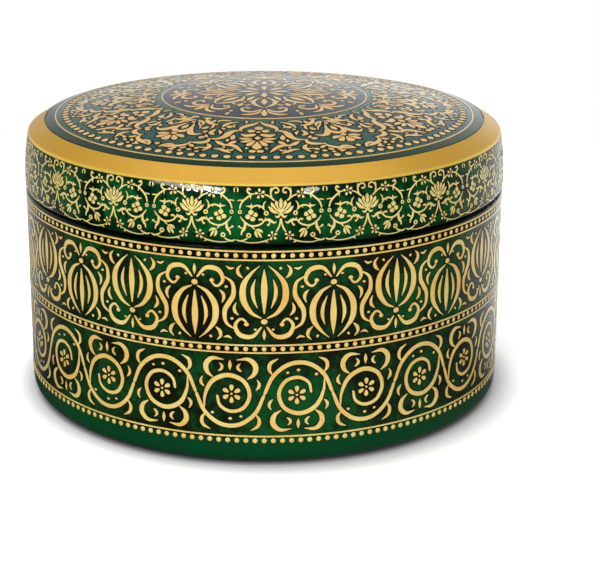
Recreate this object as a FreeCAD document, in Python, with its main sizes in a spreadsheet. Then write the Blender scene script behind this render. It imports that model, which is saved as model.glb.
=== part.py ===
import FreeCAD, Part
import os

import Sketcher

# Round covered box of deep green glass with fired gilt trim. Millimetres, +Z up the axis,
# standing on z = 0. The lid drops over a spigot that stands up inside the body's shoulder.

SIZES = {
    # Glass body
    "body_diameter": 181.0,
    "shoulder_height": 79.0,
    "shoulder_width": 4.2,
    "spigot_wall": 3.2,
    "spigot_height": 8.0,
    "base_thickness": 8.5,
    "foot_round": 5.0,
    "foot_ring_width": 6.0,
    "kick_depth": 2.5,
    "floor_round": 6.0,
    "shoulder_round": 0.8,
    "rim_round": 1.0,
    # Glass lid, with heights measured from the foot of its skirt
    "lid_fit": 0.5,
    "lid_overhang": 0.1,
    "lid_top_inset": 1.4,
    "lid_skirt_height": 21.2,
    "skirt_curve_radius": 90.0,
    "lid_foot_round": 1.9,
    "lid_lip_round": 0.6,
    "lid_thickness": 5.5,
    "ceiling_round": 4.0,
    "dome_rise": 8.5,
    "dome_step": 0.15,
    # Gilt band that wraps the lid's bevelled edge, and the groove inside it
    "band_width": 6.3,
    "band_rise": 3.9,
    "band_wrap": 0.8,
    "band_thickness": 0.3,
    "band_edge_round": 1.15,
    "key_groove_width": 0.45,
    # Fired gilt lines and dark enamel grounds
    "bond_line": 0.02,
    "gilt_thickness": 0.15,
    "enamel_thickness": 0.1,
    "line_width": 0.55,
    "dome_line_width": 0.5,
    "upper_line_drop": 1.7,
    "upper_pair_height": 3.0,
    "middle_line_height": 44.1,
    "middle_pair_height": 2.7,
    "foot_line_height": 10.8,
    "dome_line_inset": 3.75,
    "medallion_diameter": 77.2,
}

# A fillet takes at most these shares of the wall it rounds
OUTER_ROUND_SHARE = 0.55
INNER_ROUND_SHARE = 0.3

# Edges are matched to a named radius and height within this share of the radius
MATCH_SHARE = 1e-6

FULL_TURN_DEGREES = 360
ZERO = "0"
LINE = "line"
CROWN = "arc centred on the axis"

doc = FreeCAD.newDocument("GlassBox")
sheet = doc.addObject("Spreadsheet::Sheet", "Sizes")
for row, (alias, value) in enumerate(SIZES.items(), start=1):
    sheet.set(f"A{row}", alias)
    sheet.set(f"B{row}", str(value))
    sheet.setAlias(f"B{row}", alias)
doc.recompute()

# Radii and heights of the body
BODY_RADIUS = "(Sizes.body_diameter / 2)"
SPIGOT_RADIUS = f"({BODY_RADIUS} - Sizes.shoulder_width)"
BORE_RADIUS = f"({SPIGOT_RADIUS} - Sizes.spigot_wall)"
RIM_HEIGHT = "(Sizes.shoulder_height + Sizes.spigot_height)"
KICK_RADIUS = f"({BODY_RADIUS} - Sizes.foot_round - Sizes.foot_ring_width)"

# Radii and heights of the lid
LID_RADIUS = f"({BODY_RADIUS} + Sizes.lid_overhang)"
LID_TOP_RADIUS = f"({LID_RADIUS} - Sizes.lid_top_inset)"
LID_BORE_RADIUS = f"({SPIGOT_RADIUS} + Sizes.lid_fit)"
SKIRT_WALL = f"({LID_RADIUS} - {LID_BORE_RADIUS})"
BAND_SLOPE = "(Sizes.band_rise / Sizes.band_width)"
BAND_SEAT_DEPTH = "(Sizes.band_thickness + Sizes.bond_line)"
BAND_FOOT_HEIGHT = "(Sizes.lid_skirt_height - Sizes.band_wrap)"
BAND_INNER_RADIUS = f"({LID_TOP_RADIUS} - Sizes.band_width)"
BAND_INNER_HEIGHT = "(Sizes.lid_skirt_height + Sizes.band_rise)"
DOME_RADIUS = f"({BAND_INNER_RADIUS} - Sizes.key_groove_width)"
DOME_EDGE_HEIGHT = f"({BAND_INNER_HEIGHT} + Sizes.dome_step)"
CROWN_HEIGHT = f"({BAND_INNER_HEIGHT} + Sizes.dome_rise)"
DOME_RISE = "(Sizes.dome_rise - Sizes.dome_step)"
DOME_SPHERE = f"(({DOME_RADIUS} ^ 2 + {DOME_RISE} ^ 2) / (2 * {DOME_RISE}))"
DOME_CENTRE_HEIGHT = f"({CROWN_HEIGHT} - {DOME_SPHERE})"
DOME_LINE_RADIUS = f"({DOME_RADIUS} - Sizes.dome_line_inset)"
MEDALLION_RADIUS = "(Sizes.medallion_diameter / 2)"


def number(expression):
    """Value of an expression written in the sheet's sizes."""
    return float(sheet.evalExpression(expression))


def dome_height(radius, sphere=DOME_SPHERE):
    """Expression for the height of the dome, or of a sphere about its centre, at a radius."""
    return f"({DOME_CENTRE_HEIGHT} + sqrt({sphere} ^ 2 - {radius} ^ 2))"


def band_height(radius, depth):
    """Expression for the height of the bevel at a radius, that much below the gilt's face."""
    return f"(Sizes.lid_skirt_height + ({LID_TOP_RADIUS} - {radius}) * {BAND_SLOPE} - {depth})"


def middle_of_arc(first, last, side):
    """Point halfway along the arc from first to last."""
    chord_middle = (first + last) * 0.5
    if side == CROWN:
        centre_height = (first.dot(first) - last.dot(last)) / (2 * (first.y - last.y))
        centre = FreeCAD.Vector(0, centre_height, 0)
        outward = (chord_middle - centre).normalize()
        return centre + outward * (first - centre).Length
    chord = last - first
    outward = FreeCAD.Vector(chord.y, -chord.x, 0).normalize()
    radius = number(side)
    return chord_middle + outward * (radius - (radius ** 2 - chord.Length ** 2 / 4) ** 0.5)


def pin(sketch, kind, axis, point, expression):
    """Ties one coordinate of a sketch point to an expression."""
    if expression == ZERO:
        sketch.addConstraint(Sketcher.Constraint("PointOnObject", *point, axis))
        return
    constraint = sketch.addConstraint(Sketcher.Constraint(kind, -1, 1, *point, number(expression)))
    sketch.setExpression(f"Constraints[{constraint}]", expression)


def half_section(body, name, corners):
    """Closed half section on the body's XZ plane.

    Each corner is (radius, height, side). The side leaves that corner as a LINE, as a CROWN,
    or as an outward arc when it is an expression for the arc's radius.
    """
    planes = {feature.Role: feature for feature in body.Origin.OriginFeatures}
    sketch = body.newObject("Sketcher::SketchObject", name)
    sketch.AttachmentSupport = [(planes["XZ_Plane"], "")]
    sketch.MapMode = "FlatFace"
    points = [FreeCAD.Vector(number(radius), number(height), 0) for radius, height, _ in corners]
    starts = []
    ends = []
    for index, (_, _, side) in enumerate(corners):
        first = points[index]
        last = points[(index + 1) % len(points)]
        if side == LINE:
            edge = sketch.addGeometry(Part.LineSegment(first, last))
        else:
            edge = sketch.addGeometry(Part.Arc(first, middle_of_arc(first, last, side), last))
        to_start = sketch.getPoint(edge, 1).distanceToPoint(first)
        to_end = sketch.getPoint(edge, 2).distanceToPoint(first)
        runs_forward = to_start < to_end
        starts.append((edge, 1 if runs_forward else 2))
        ends.append((edge, 2 if runs_forward else 1))
    for index, (radius, height, side) in enumerate(corners):
        sketch.addConstraint(Sketcher.Constraint("Coincident", *ends[index - 1], *starts[index]))
        pin(sketch, "DistanceX", -2, starts[index], radius)
        pin(sketch, "DistanceY", -1, starts[index], height)
        edge = starts[index][0]
        if side == CROWN:
            sketch.addConstraint(Sketcher.Constraint("PointOnObject", edge, 3, -2))
        elif side != LINE:
            constraint = sketch.addConstraint(Sketcher.Constraint("Radius", edge, number(side)))
            sketch.setExpression(f"Constraints[{constraint}]", side)
    return sketch


def turned(label, corners):
    """Body made by turning a half section about the Z axis."""
    body = doc.addObject("PartDesign::Body", label)
    body.Label = label
    sketch = half_section(body, "HalfSection", corners)
    turn = body.newObject("PartDesign::Revolution", "Turning")
    turn.Profile = sketch
    turn.ReferenceAxis = (sketch, ["V_Axis"])
    turn.Angle = FULL_TURN_DEGREES
    body.Tip = turn
    doc.recompute()
    return body


def edge_at(shape, radius, height):
    """Name of the circular edge of that radius at that height."""
    tolerance = MATCH_SHARE * radius
    for index, edge in enumerate(shape.Edges, start=1):
        if edge.Degenerated or not isinstance(edge.Curve, Part.Circle):
            continue
        if abs(edge.Curve.Radius - radius) < tolerance and abs(edge.Curve.Center.z - height) < tolerance:
            return f"Edge{index}"
    raise ValueError(f"no circular edge of radius {radius} at height {height}")


def rounded(body, name, radius, places):
    """Fillets the circular edges at the given (radius, height) places of a body."""
    base = body.Tip
    fillet = body.newObject("PartDesign::Fillet", name)
    fillet.Base = (base, [edge_at(base.Shape, number(at), number(height)) for at, height in places])
    fillet.setExpression("Radius", radius)
    body.Tip = fillet
    doc.recompute()


def lift_to_shoulder(body):
    """Stands a piece of the lid on the body's shoulder."""
    body.setExpression("Placement.Base.z", "Sizes.shoulder_height")


def make_box_body():
    """Straight glass drum with a kicked-up base, a shoulder and a spigot for the lid."""
    body = turned("box_body", [
        (ZERO, "Sizes.kick_depth", CROWN),
        (KICK_RADIUS, ZERO, LINE),
        (BODY_RADIUS, ZERO, LINE),
        (BODY_RADIUS, "Sizes.shoulder_height", LINE),
        (SPIGOT_RADIUS, "Sizes.shoulder_height", LINE),
        (SPIGOT_RADIUS, RIM_HEIGHT, LINE),
        (BORE_RADIUS, RIM_HEIGHT, LINE),
        (BORE_RADIUS, "Sizes.base_thickness", LINE),
        (ZERO, "Sizes.base_thickness", LINE),
    ])
    rounded(body, "FootRound", "Sizes.foot_round", [(BODY_RADIUS, ZERO)])
    rounded(body, "FloorRound", "Sizes.floor_round", [(BORE_RADIUS, "Sizes.base_thickness")])
    shoulder_round = f"min(Sizes.shoulder_round, Sizes.shoulder_width * {INNER_ROUND_SHARE})"
    rounded(body, "ShoulderRound", shoulder_round, [(BODY_RADIUS, "Sizes.shoulder_height")])
    rim_round = f"min(Sizes.rim_round, Sizes.spigot_wall * {INNER_ROUND_SHARE})"
    rounded(body, "RimRound", rim_round, [(SPIGOT_RADIUS, RIM_HEIGHT), (BORE_RADIUS, RIM_HEIGHT)])


def make_lid():
    """Low glass dome with a bulged skirt, a bevel cut back for the gilt and a fine groove."""
    seat_radius = f"({LID_TOP_RADIUS} - {BAND_SEAT_DEPTH})"
    step_height = f"({BAND_FOOT_HEIGHT} - Sizes.bond_line)"
    ceiling_sphere = f"({DOME_SPHERE} - Sizes.lid_thickness)"
    ceiling_edge_height = dome_height(LID_BORE_RADIUS, ceiling_sphere)
    body = turned("lid", [
        (ZERO, f"{CROWN_HEIGHT} - Sizes.lid_thickness", CROWN),
        (LID_BORE_RADIUS, ceiling_edge_height, LINE),
        (LID_BORE_RADIUS, ZERO, LINE),
        (LID_RADIUS, ZERO, "Sizes.skirt_curve_radius"),
        (LID_TOP_RADIUS, step_height, LINE),
        (seat_radius, step_height, LINE),
        (seat_radius, band_height(seat_radius, BAND_SEAT_DEPTH), LINE),
        (DOME_RADIUS, band_height(DOME_RADIUS, BAND_SEAT_DEPTH), LINE),
        (DOME_RADIUS, DOME_EDGE_HEIGHT, CROWN),
        (ZERO, CROWN_HEIGHT, LINE),
    ])
    foot_round = f"min(Sizes.lid_foot_round, {SKIRT_WALL} * {OUTER_ROUND_SHARE})"
    rounded(body, "FootRound", foot_round, [(LID_RADIUS, ZERO)])
    lip_round = f"min(Sizes.lid_lip_round, {SKIRT_WALL} * {INNER_ROUND_SHARE})"
    rounded(body, "LipRound", lip_round, [(LID_BORE_RADIUS, ZERO)])
    rounded(body, "CeilingRound", "Sizes.ceiling_round", [(LID_BORE_RADIUS, ceiling_edge_height)])
    lift_to_shoulder(body)


def make_gilt_edge_band():
    """Thin gilt band over the lid's bevel, wrapped a little way down the skirt."""
    inside_radius = f"({LID_TOP_RADIUS} - Sizes.band_thickness)"
    body = turned("gilt_edge_band", [
        (inside_radius, BAND_FOOT_HEIGHT, LINE),
        (LID_TOP_RADIUS, BAND_FOOT_HEIGHT, LINE),
        (LID_TOP_RADIUS, "Sizes.lid_skirt_height", LINE),
        (BAND_INNER_RADIUS, BAND_INNER_HEIGHT, LINE),
        (BAND_INNER_RADIUS, f"{BAND_INNER_HEIGHT} - Sizes.band_thickness", LINE),
        (inside_radius, band_height(inside_radius, "Sizes.band_thickness"), LINE),
    ])
    rounded(body, "EdgeRound", "Sizes.band_edge_round", [(LID_TOP_RADIUS, "Sizes.lid_skirt_height")])
    lift_to_shoulder(body)


def make_dome_ring(label, middle_radius):
    """Gilt line laid round the dome at one radius."""
    inner = f"({middle_radius} - Sizes.dome_line_width / 2)"
    outer = f"({middle_radius} + Sizes.dome_line_width / 2)"
    low = "Sizes.bond_line"
    high = "Sizes.bond_line + Sizes.gilt_thickness"
    body = turned(label, [
        (inner, f"{dome_height(inner)} + {low}", LINE),
        (outer, f"{dome_height(outer)} + {low}", LINE),
        (outer, f"{dome_height(outer)} + {high}", LINE),
        (inner, f"{dome_height(inner)} + {high}", LINE),
    ])
    lift_to_shoulder(body)


def make_medallion_ground():
    """Dark enamel disc on the crown, inside the medallion's gilt ring."""
    radius = f"({MEDALLION_RADIUS} - Sizes.dome_line_width / 2 - Sizes.bond_line)"
    under = "Sizes.bond_line"
    face = "Sizes.bond_line + Sizes.enamel_thickness"
    body = turned("medallion_ground", [
        (radius, f"{dome_height(radius)} + {under}", LINE),
        (radius, f"{dome_height(radius)} + {face}", CROWN),
        (ZERO, f"{CROWN_HEIGHT} + {face}", LINE),
        (ZERO, f"{CROWN_HEIGHT} + {under}", CROWN),
    ])
    lift_to_shoulder(body)


def make_wall_ring(label, bottom, top, thickness):
    """Thin ring laid round the body's straight wall between two heights."""
    inner = f"({BODY_RADIUS} + Sizes.bond_line)"
    outer = f"({inner} + {thickness})"
    turned(label, [
        (inner, bottom, LINE),
        (outer, bottom, LINE),
        (outer, top, LINE),
        (inner, top, LINE),
    ])


def make_gilt_line(label, height):
    """Gilt line round the body with its middle at one height."""
    bottom = f"({height} - Sizes.line_width / 2)"
    top = f"({height} + Sizes.line_width / 2)"
    make_wall_ring(label, bottom, top, "Sizes.gilt_thickness")


def make_bead_border(name, top_line_height, pair_height):
    """Pair of gilt lines with a dark enamel ground between them."""
    bottom_line_height = f"({top_line_height} - {pair_height})"
    make_gilt_line(f"{name}_line_top", top_line_height)
    make_gilt_line(f"{name}_line_bottom", bottom_line_height)
    ground_bottom = f"({bottom_line_height} + Sizes.line_width / 2)"
    ground_top = f"({top_line_height} - Sizes.line_width / 2)"
    make_wall_ring(f"{name}_bead_ground", ground_bottom, ground_top, "Sizes.enamel_thickness")


make_box_body()
make_bead_border("upper", "(Sizes.shoulder_height - Sizes.upper_line_drop)", "Sizes.upper_pair_height")
make_bead_border("middle", "Sizes.middle_line_height", "Sizes.middle_pair_height")
make_gilt_line("foot_line", "Sizes.foot_line_height")
make_lid()
make_gilt_edge_band()
make_dome_ring("dome_line", DOME_LINE_RADIUS)
make_dome_ring("medallion_ring", MEDALLION_RADIUS)
make_medallion_ground()
doc.recompute()

for item in doc.Objects:
    if "Invalid" in item.State or "Error" in item.State:
        raise RuntimeError(f"{item.Label} did not rebuild: {item.State}")
pieces = [item for item in doc.Objects if item.TypeId == "PartDesign::Body"]
for piece in pieces:
    if piece.Shape.isNull() or not piece.Shape.isValid() or len(piece.Shape.Solids) != 1:
        raise RuntimeError(f"{piece.Label} is not one valid solid")

os.makedirs("parts", exist_ok=True)
for piece in pieces:
    piece.Shape.exportStep(os.path.join("parts", f"{piece.Label}.step"))
    print(f"{piece.Label}: {piece.Shape.Volume:.1f} mm3, {piece.Shape.BoundBox}")
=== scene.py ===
"""Covered round box of green glass with gilt ornament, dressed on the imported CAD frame.

Drawings are in millimetres on the unrolled glass. The scene is in metres, +Z up, and the box
stands on z = 0 with its front towards -Y.
"""

from __future__ import annotations

import logging
import math
from abc import ABC, abstractmethod
from dataclasses import dataclass, field, replace
from enum import Enum
from typing import Callable, Iterable, Sequence

import bpy
import numpy as np
from mathutils import Euler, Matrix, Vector

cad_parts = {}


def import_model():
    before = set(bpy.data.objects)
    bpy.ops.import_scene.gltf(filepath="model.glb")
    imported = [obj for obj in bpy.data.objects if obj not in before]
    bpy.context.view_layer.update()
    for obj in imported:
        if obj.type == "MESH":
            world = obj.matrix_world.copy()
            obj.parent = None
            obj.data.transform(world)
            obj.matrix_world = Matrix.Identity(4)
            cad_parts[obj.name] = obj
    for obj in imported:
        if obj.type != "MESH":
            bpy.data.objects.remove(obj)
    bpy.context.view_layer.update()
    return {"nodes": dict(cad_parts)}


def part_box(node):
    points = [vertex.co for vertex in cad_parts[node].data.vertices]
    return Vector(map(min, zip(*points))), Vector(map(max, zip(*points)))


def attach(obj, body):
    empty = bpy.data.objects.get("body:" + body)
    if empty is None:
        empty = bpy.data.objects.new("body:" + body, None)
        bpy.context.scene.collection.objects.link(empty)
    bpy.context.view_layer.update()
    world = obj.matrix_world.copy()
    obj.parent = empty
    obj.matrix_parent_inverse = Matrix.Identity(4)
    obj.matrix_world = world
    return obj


LOG = logging.getLogger("glass_box")
MM = 0.001

Point = tuple[float, float]
Span = tuple[float, float]
Place = tuple[float, float, float]
Colour = tuple[float, float, float]
# Height in millimetres, colour and cover of a band laid by height, used for tints, painted shade
# and painted highlights
HeightBand = tuple[float, Colour, float]
BrushLine = tuple[np.ndarray, np.ndarray]
Feed = bpy.types.NodeSocket | Colour | float

# Sizes that the frame's boxes don't give, in millimetres: the gilt band, the groove between it and
# the dome, the drop of the lowest beads under the foot line, the skirt and the dome
BAND_WIDTH = 6.3
KEY_GROOVE = 0.45
FOOT_BEAD_DROP = 1.67
SKIRT_BULGE = 0.09
SKIRT_TOP_INSET = 1.4
SKIRT_CURVE = 90.0
SKIRT_FOOT_ROUND = 1.9
DOME_RISE = 8.35


class BodyName(Enum):
    """Moving bodies of the frame."""

    BOX = "box"
    COVER = "cover"


class SlotName(Enum):
    """Material slots of the record."""

    GLASS = "green_glass"
    GILT = "gilt"
    ENAMEL = "dark_enamel"


def srgb(red: int, green: int, blue: int) -> Colour:
    """Turns a colour as it looks on screen into linear light.

    Args:
        red: Red from 0 to 255.
        green: Green from 0 to 255.
        blue: Blue from 0 to 255.

    Returns:
        The three linear values.
    """
    shares = [channel / 255 for channel in (red, green, blue)]
    return tuple(s / 12.92 if s <= 0.04045 else ((s + 0.055) / 1.055) ** 2.4 for s in shares)


# Raised ribbons


@dataclass(frozen=True)
class RibbonStyle:
    """How a drawn line is laid on the glass, in millimetres.

    Attributes:
        spread: Extra width on each side.
        foot: Height of the ribbon's underside, below the glass when negative.
        relief: Height of the ribbon's flat top.
        top_share: Width of the top as a share of the whole.
    """

    spread: float
    foot: float
    relief: float
    top_share: float


GOLD_RELIEF = RibbonStyle(spread=0.0, foot=-0.1, relief=0.08, top_share=0.9)
KEYLINE = RibbonStyle(spread=0.22, foot=-0.1, relief=0.03, top_share=0.92)
SLIT = RibbonStyle(spread=0.0, foot=0.04, relief=0.11, top_share=0.9)

# Points along lines, rings and spots, and the least width of a line, in millimetres
CURVE_SAMPLES = 14
LEAST_STOPS = 5
LEAST_RING_POINTS = 10
SPOT_POINTS = 7
LEAST_HALF_WIDTH = 0.03

# Lines that end wider than this are rounded off, with more points at these shares of the round
ROUND_END_FROM = 0.3
ROUND_END_SHARES = np.array([0.12, 0.5])

# Petals, rosettes and beads as shares of their widths, reach, radius and relief
PETAL_WIDTH_SHARES = (0.25, 0.8, 1.0, 0.75)
PETAL_BASE_SHARE = 0.33
ROSETTE_EYE_SHARE = 0.3
BEAD_LEVEL_SHARES = ((0.94, 0.45), (0.7, 0.82), (0.35, 1.0))


def smooth_through(knots: np.ndarray, stops: np.ndarray) -> np.ndarray:
    """Evaluates a smooth curve through evenly counted knots.

    Args:
        knots: Values to pass through, one row each.
        stops: Places along the curve, from 0 at the first knot to 1 at the last.

    Returns:
        One row for each stop.
    """
    count = len(knots)
    if count == 1:
        return np.repeat(knots, len(stops), axis=0)
    padded = np.vstack([2 * knots[:1] - knots[1:2], knots, 2 * knots[-1:] - knots[-2:-1]])
    place = np.clip(stops, 0, 1) * (count - 1)
    first = np.minimum(place.astype(int), count - 2)
    t = (place - first)[:, None]
    before, start, end, after = (padded[first + k] for k in range(4))
    straight = 2 * start + (end - before) * t
    bend = (2 * before - 5 * start + 4 * end - after) * t**2
    twist = (3 * start - before - 3 * end + after) * t**3
    return 0.5 * (straight + bend + twist)


@dataclass
class Patch:
    """Faces on a flat drawing.

    Attributes:
        points: Points as (across, up, lift) in millimetres.
        faces: Rows of point numbers, by the number of a face's corners.
    """

    points: np.ndarray
    faces: dict[int, np.ndarray]

    @staticmethod
    def joined(patches: Iterable["Patch"]) -> "Patch":
        """Joins several patches into one.

        Args:
            patches: Patches to join.

        Returns:
            One patch with all their points and faces.
        """
        points: list[np.ndarray] = []
        faces: dict[int, list[np.ndarray]] = {}
        start = 0
        for patch in patches:
            points.append(patch.points)
            for corners, rows in patch.faces.items():
                faces.setdefault(corners, []).append(rows + start)
            start += len(patch.points)
        return Patch(np.vstack(points), {n: np.vstack(rows) for n, rows in faces.items()})

    def mirrored(self) -> "Patch":
        """Returns the patch mirrored across its upright axis."""
        flipped = {n: rows[:, ::-1] for n, rows in self.faces.items()}
        return Patch(self.points * (-1, 1, 1), flipped)

    def doubled(self) -> "Patch":
        """Returns the patch together with its mirror image."""
        return Patch.joined([self, self.mirrored()])

    def half_turned(self, centre: Point) -> "Patch":
        """Returns the patch given half a turn about a point of the drawing."""
        pivot = np.array([2 * centre[0], 2 * centre[1], 0])
        return Patch(pivot + self.points * (-1, -1, 1), self.faces)

    def moved(self, across: float, up: float = 0.0) -> "Patch":
        """Returns the patch moved over the drawing."""
        return Patch(self.points + (across, up, 0), self.faces)

    def turned(self, degrees: float) -> "Patch":
        """Turns the patch about the drawing's origin.

        Args:
            degrees: Angle of the turn, from up towards across.

        Returns:
            The turned patch.
        """
        angle = math.radians(degrees)
        across, up, lift = self.points.T
        turned_across = across * math.cos(angle) + up * math.sin(angle)
        turned_up = up * math.cos(angle) - across * math.sin(angle)
        return Patch(np.stack([turned_across, turned_up, lift], axis=1), self.faces)


def ribbon(line: np.ndarray, half_widths: np.ndarray, style: RibbonStyle, closed: bool) -> Patch:
    """Lays a flat-topped ribbon along a line.

    Args:
        line: Centre points of the ribbon.
        half_widths: Half width at each centre point.
        style: Relief and spread of the ribbon.
        closed: Whether the ribbon runs round into its own start.

    Returns:
        A closed patch with four points at each centre point.
    """
    if closed:
        along = np.roll(line, -1, axis=0) - np.roll(line, 1, axis=0)
    else:
        along = np.gradient(line, axis=0)
    along = along / np.linalg.norm(along, axis=1)[:, None]
    if not closed:
        line = line.copy()
        line[0] -= along[0] * style.spread
        line[-1] += along[-1] * style.spread
    left = np.stack([-along[:, 1], along[:, 0]], axis=1)
    half = half_widths + style.spread
    count = len(line)
    section = []
    for share, lift in (
        (1, style.foot),
        (style.top_share, style.relief),
        (-style.top_share, style.relief),
        (-1, style.foot),
    ):
        edge = line + left * (share * half)[:, None]
        section.append(np.column_stack([edge, np.full(count, lift)]))
    points = np.stack(section, axis=1).reshape(-1, 3)
    this = np.arange(count if closed else count - 1)
    following = (this + 1) % count
    faces = []
    for corner in range(4):
        beside = (corner + 1) % 4
        near = [4 * this + corner, 4 * this + beside]
        far = [4 * following + beside, 4 * following + corner]
        faces.append(np.stack(near + far, axis=1))
    if not closed:
        last = 4 * (count - 1)
        faces.append(np.array([[0, 3, 2, 1], [last, last + 1, last + 2, last + 3]]))
    return Patch(points, {4: np.vstack(faces)})


@dataclass
class Drawing:
    """Flat drawing of gold lines, rings and spots, with dark slits on top of them.

    Attributes:
        step: Spacing of the points along a line.
        outline: Width of the dark outline round the gold.
        weight: Boldness, as a share of the widths drawn.
        lines: Centre points and half widths of each gold line.
        rings: Centre points and half width of each gold ring.
        slits: Centre points and half widths of each dark slit.
    """

    step: float
    outline: float
    weight: float
    lines: list[BrushLine] = field(default_factory=list)
    rings: list[tuple[np.ndarray, float]] = field(default_factory=list)
    slits: list[BrushLine] = field(default_factory=list)

    def run(self, widths: Sequence[float], points: Sequence[Point]) -> BrushLine:
        """Works out the centre points and half widths of a brush line.

        Args:
            widths: Widths spread evenly along the line.
            points: Points that the line passes through.

        Returns:
            Centre points and half widths, closer together at a rounded end.
        """
        widths = [self.weight * width for width in widths]
        knots = np.array(points, dtype=float)
        dense = smooth_through(knots, np.linspace(0, 1, CURVE_SAMPLES * (len(knots) - 1) + 1))
        travelled = np.concatenate([[0], np.cumsum(np.linalg.norm(np.diff(dense, axis=0), axis=1))])
        length = travelled[-1]
        stops = np.linspace(0, length, max(LEAST_STOPS, math.ceil(length / self.step) + 1))
        start_round = widths[0] / 2 if widths[0] > ROUND_END_FROM else 0.0
        end_round = widths[-1] / 2 if widths[-1] > ROUND_END_FROM else 0.0
        if start_round:
            stops = np.concatenate([stops, ROUND_END_SHARES * start_round])
        if end_round:
            stops = np.concatenate([stops, length - ROUND_END_SHARES * end_round])
        stops = np.unique(np.clip(stops, 0, length))
        centre = np.column_stack([np.interp(stops, travelled, axis) for axis in dense.T])
        half = smooth_through(np.array(widths, dtype=float)[:, None], stops / length)[:, 0] / 2
        for distance, end in ((stops, start_round), (length - stops, end_round)):
            if end:
                near = np.clip(1 - distance / end, 0, 1)
                half = half * np.sqrt(1 - near**2)
        return centre, np.maximum(half, LEAST_HALF_WIDTH)

    def line(self, widths: Sequence[float], *points: Point) -> None:
        """Draws a gold brush line of changing width through the points."""
        self.lines.append(self.run(widths, points))

    def slit(self, widths: Sequence[float], *points: Point) -> None:
        """Draws a dark line on top of the gold."""
        self.slits.append(self.run(widths, points))

    def ring(self, centre: Point, outer: float, hole: float) -> None:
        """Draws a gold ring, or a dark-eyed dot.

        Args:
            centre: Middle of the ring.
            outer: Its outer radius.
            hole: Its inner radius.
        """
        middle = (outer + hole) / 2
        count = max(LEAST_RING_POINTS, round(2 * math.pi * middle / self.step))
        angle = np.arange(count) * 2 * math.pi / count
        line = np.array(centre) + middle * np.stack([np.cos(angle), np.sin(angle)], axis=1)
        self.rings.append((line, (outer - hole) / 2))

    def spot(self, centre: Point, length: float, width: float, degrees: float = 0.0) -> None:
        """Draws a gold oval.

        Args:
            centre: Middle of the oval.
            length: Its length.
            width: Its width.
            degrees: How far its length is turned from the across direction.
        """
        angle = math.radians(degrees)
        reach = self.weight * length / 2 * np.array([math.cos(angle), math.sin(angle)])
        place = np.cos(np.linspace(math.pi, 0, SPOT_POINTS))
        half = np.maximum(self.weight * width / 2 * np.sqrt(1 - place**2), LEAST_HALF_WIDTH)
        self.lines.append((np.array(centre) + np.outer(place, reach), half))

    def petal(self, width: float, base: Point, tip: Point) -> None:
        """Draws a petal that is narrow at its base and round towards its tip."""
        self.line([share * width for share in PETAL_WIDTH_SHARES], base, tip)

    def rosette(
        self,
        centre: Point,
        petals: int,
        reach: float,
        width: float,
        degrees: float,
    ) -> None:
        """Draws a ring of petals round a dot.

        Args:
            centre: Middle of the flower.
            petals: Number of petals.
            reach: Distance from the middle to a petal's tip.
            width: Width of a petal.
            degrees: Direction of the first petal.
        """
        for index in range(petals):
            angle = math.radians(degrees + 360 * index / petals)
            way = np.array([math.cos(angle), math.sin(angle)])
            base = np.array(centre) + PETAL_BASE_SHARE * reach * way
            tip = np.array(centre) + reach * way
            self.petal(width, tuple(base), tuple(tip))
        self.spot(centre, ROSETTE_EYE_SHARE * reach, ROSETTE_EYE_SHARE * reach)

    def gold(self, style: RibbonStyle = GOLD_RELIEF) -> Patch:
        """Lays every gold line and ring in one style.

        Args:
            style: Relief and spread of the ribbons.

        Returns:
            The laid lines and rings.
        """
        patches = [ribbon(centre, half, style, False) for centre, half in self.lines]
        for line, half in self.rings:
            patches.append(ribbon(line, np.full(len(line), half), style, True))
        return Patch.joined(patches)

    def dark(self) -> Patch:
        """Lays the dark outline of every gold line, and the slits.

        Returns:
            The laid outlines and slits.
        """
        patches = [self.gold(replace(KEYLINE, spread=self.outline))]
        patches += [ribbon(centre, half, SLIT, False) for centre, half in self.slits]
        return Patch.joined(patches)


def bead(centre: Point, radius: float, relief: float, sides: int) -> Patch:
    """Makes one low round bead.

    Args:
        centre: Middle of the bead on the drawing.
        radius: Radius of the bead.
        relief: Height of the bead over the glass.
        sides: Number of sides of the bead's outline.

    Returns:
        A closed patch.
    """
    levels = [(1.0, GOLD_RELIEF.foot)]
    levels += [(share, rise * relief) for share, rise in BEAD_LEVEL_SHARES]
    angle = np.arange(sides) * 2 * math.pi / sides
    circle = np.stack([np.cos(angle), np.sin(angle)], axis=1)
    points = np.vstack([
        np.column_stack([np.array(centre) + share * radius * circle, np.full(sides, lift)])
        for share, lift in levels
    ])
    this = np.arange(sides)
    following = (this + 1) % sides
    walls = [
        np.stack([low + this, low + following, low + sides + following, low + sides + this], axis=1)
        for low in range(0, sides * (len(levels) - 1), sides)
    ]
    top = this + sides * (len(levels) - 1)
    return Patch(points, {4: np.vstack(walls), sides: np.vstack([this[::-1], top])})


# Surfaces that drawings are laid on


# Height over which a wall's lean is measured, in millimetres
LEAN_RISE = 0.05


class Surface(ABC):
    """Glass surface that a flat drawing is wrapped on.

    Attributes:
        turns_over: Whether wrapping a drawing turns its faces over.
    """

    turns_over: bool = False

    @abstractmethod
    def wrap(self, flat: np.ndarray) -> np.ndarray:
        """Turns drawing points into places in millimetres.

        Args:
            flat: Points as (across, up, lift).

        Returns:
            Points as (x, y, z).
        """

    @abstractmethod
    def repeated(self, unit: Patch, count: int, degrees: float) -> Patch:
        """Sets copies of a unit evenly round the axis.

        Args:
            unit: Patch drawn about the front of the surface.
            count: Number of copies.
            degrees: Place of the first copy, to the right of the front.

        Returns:
            All the copies as one patch.
        """


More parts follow.
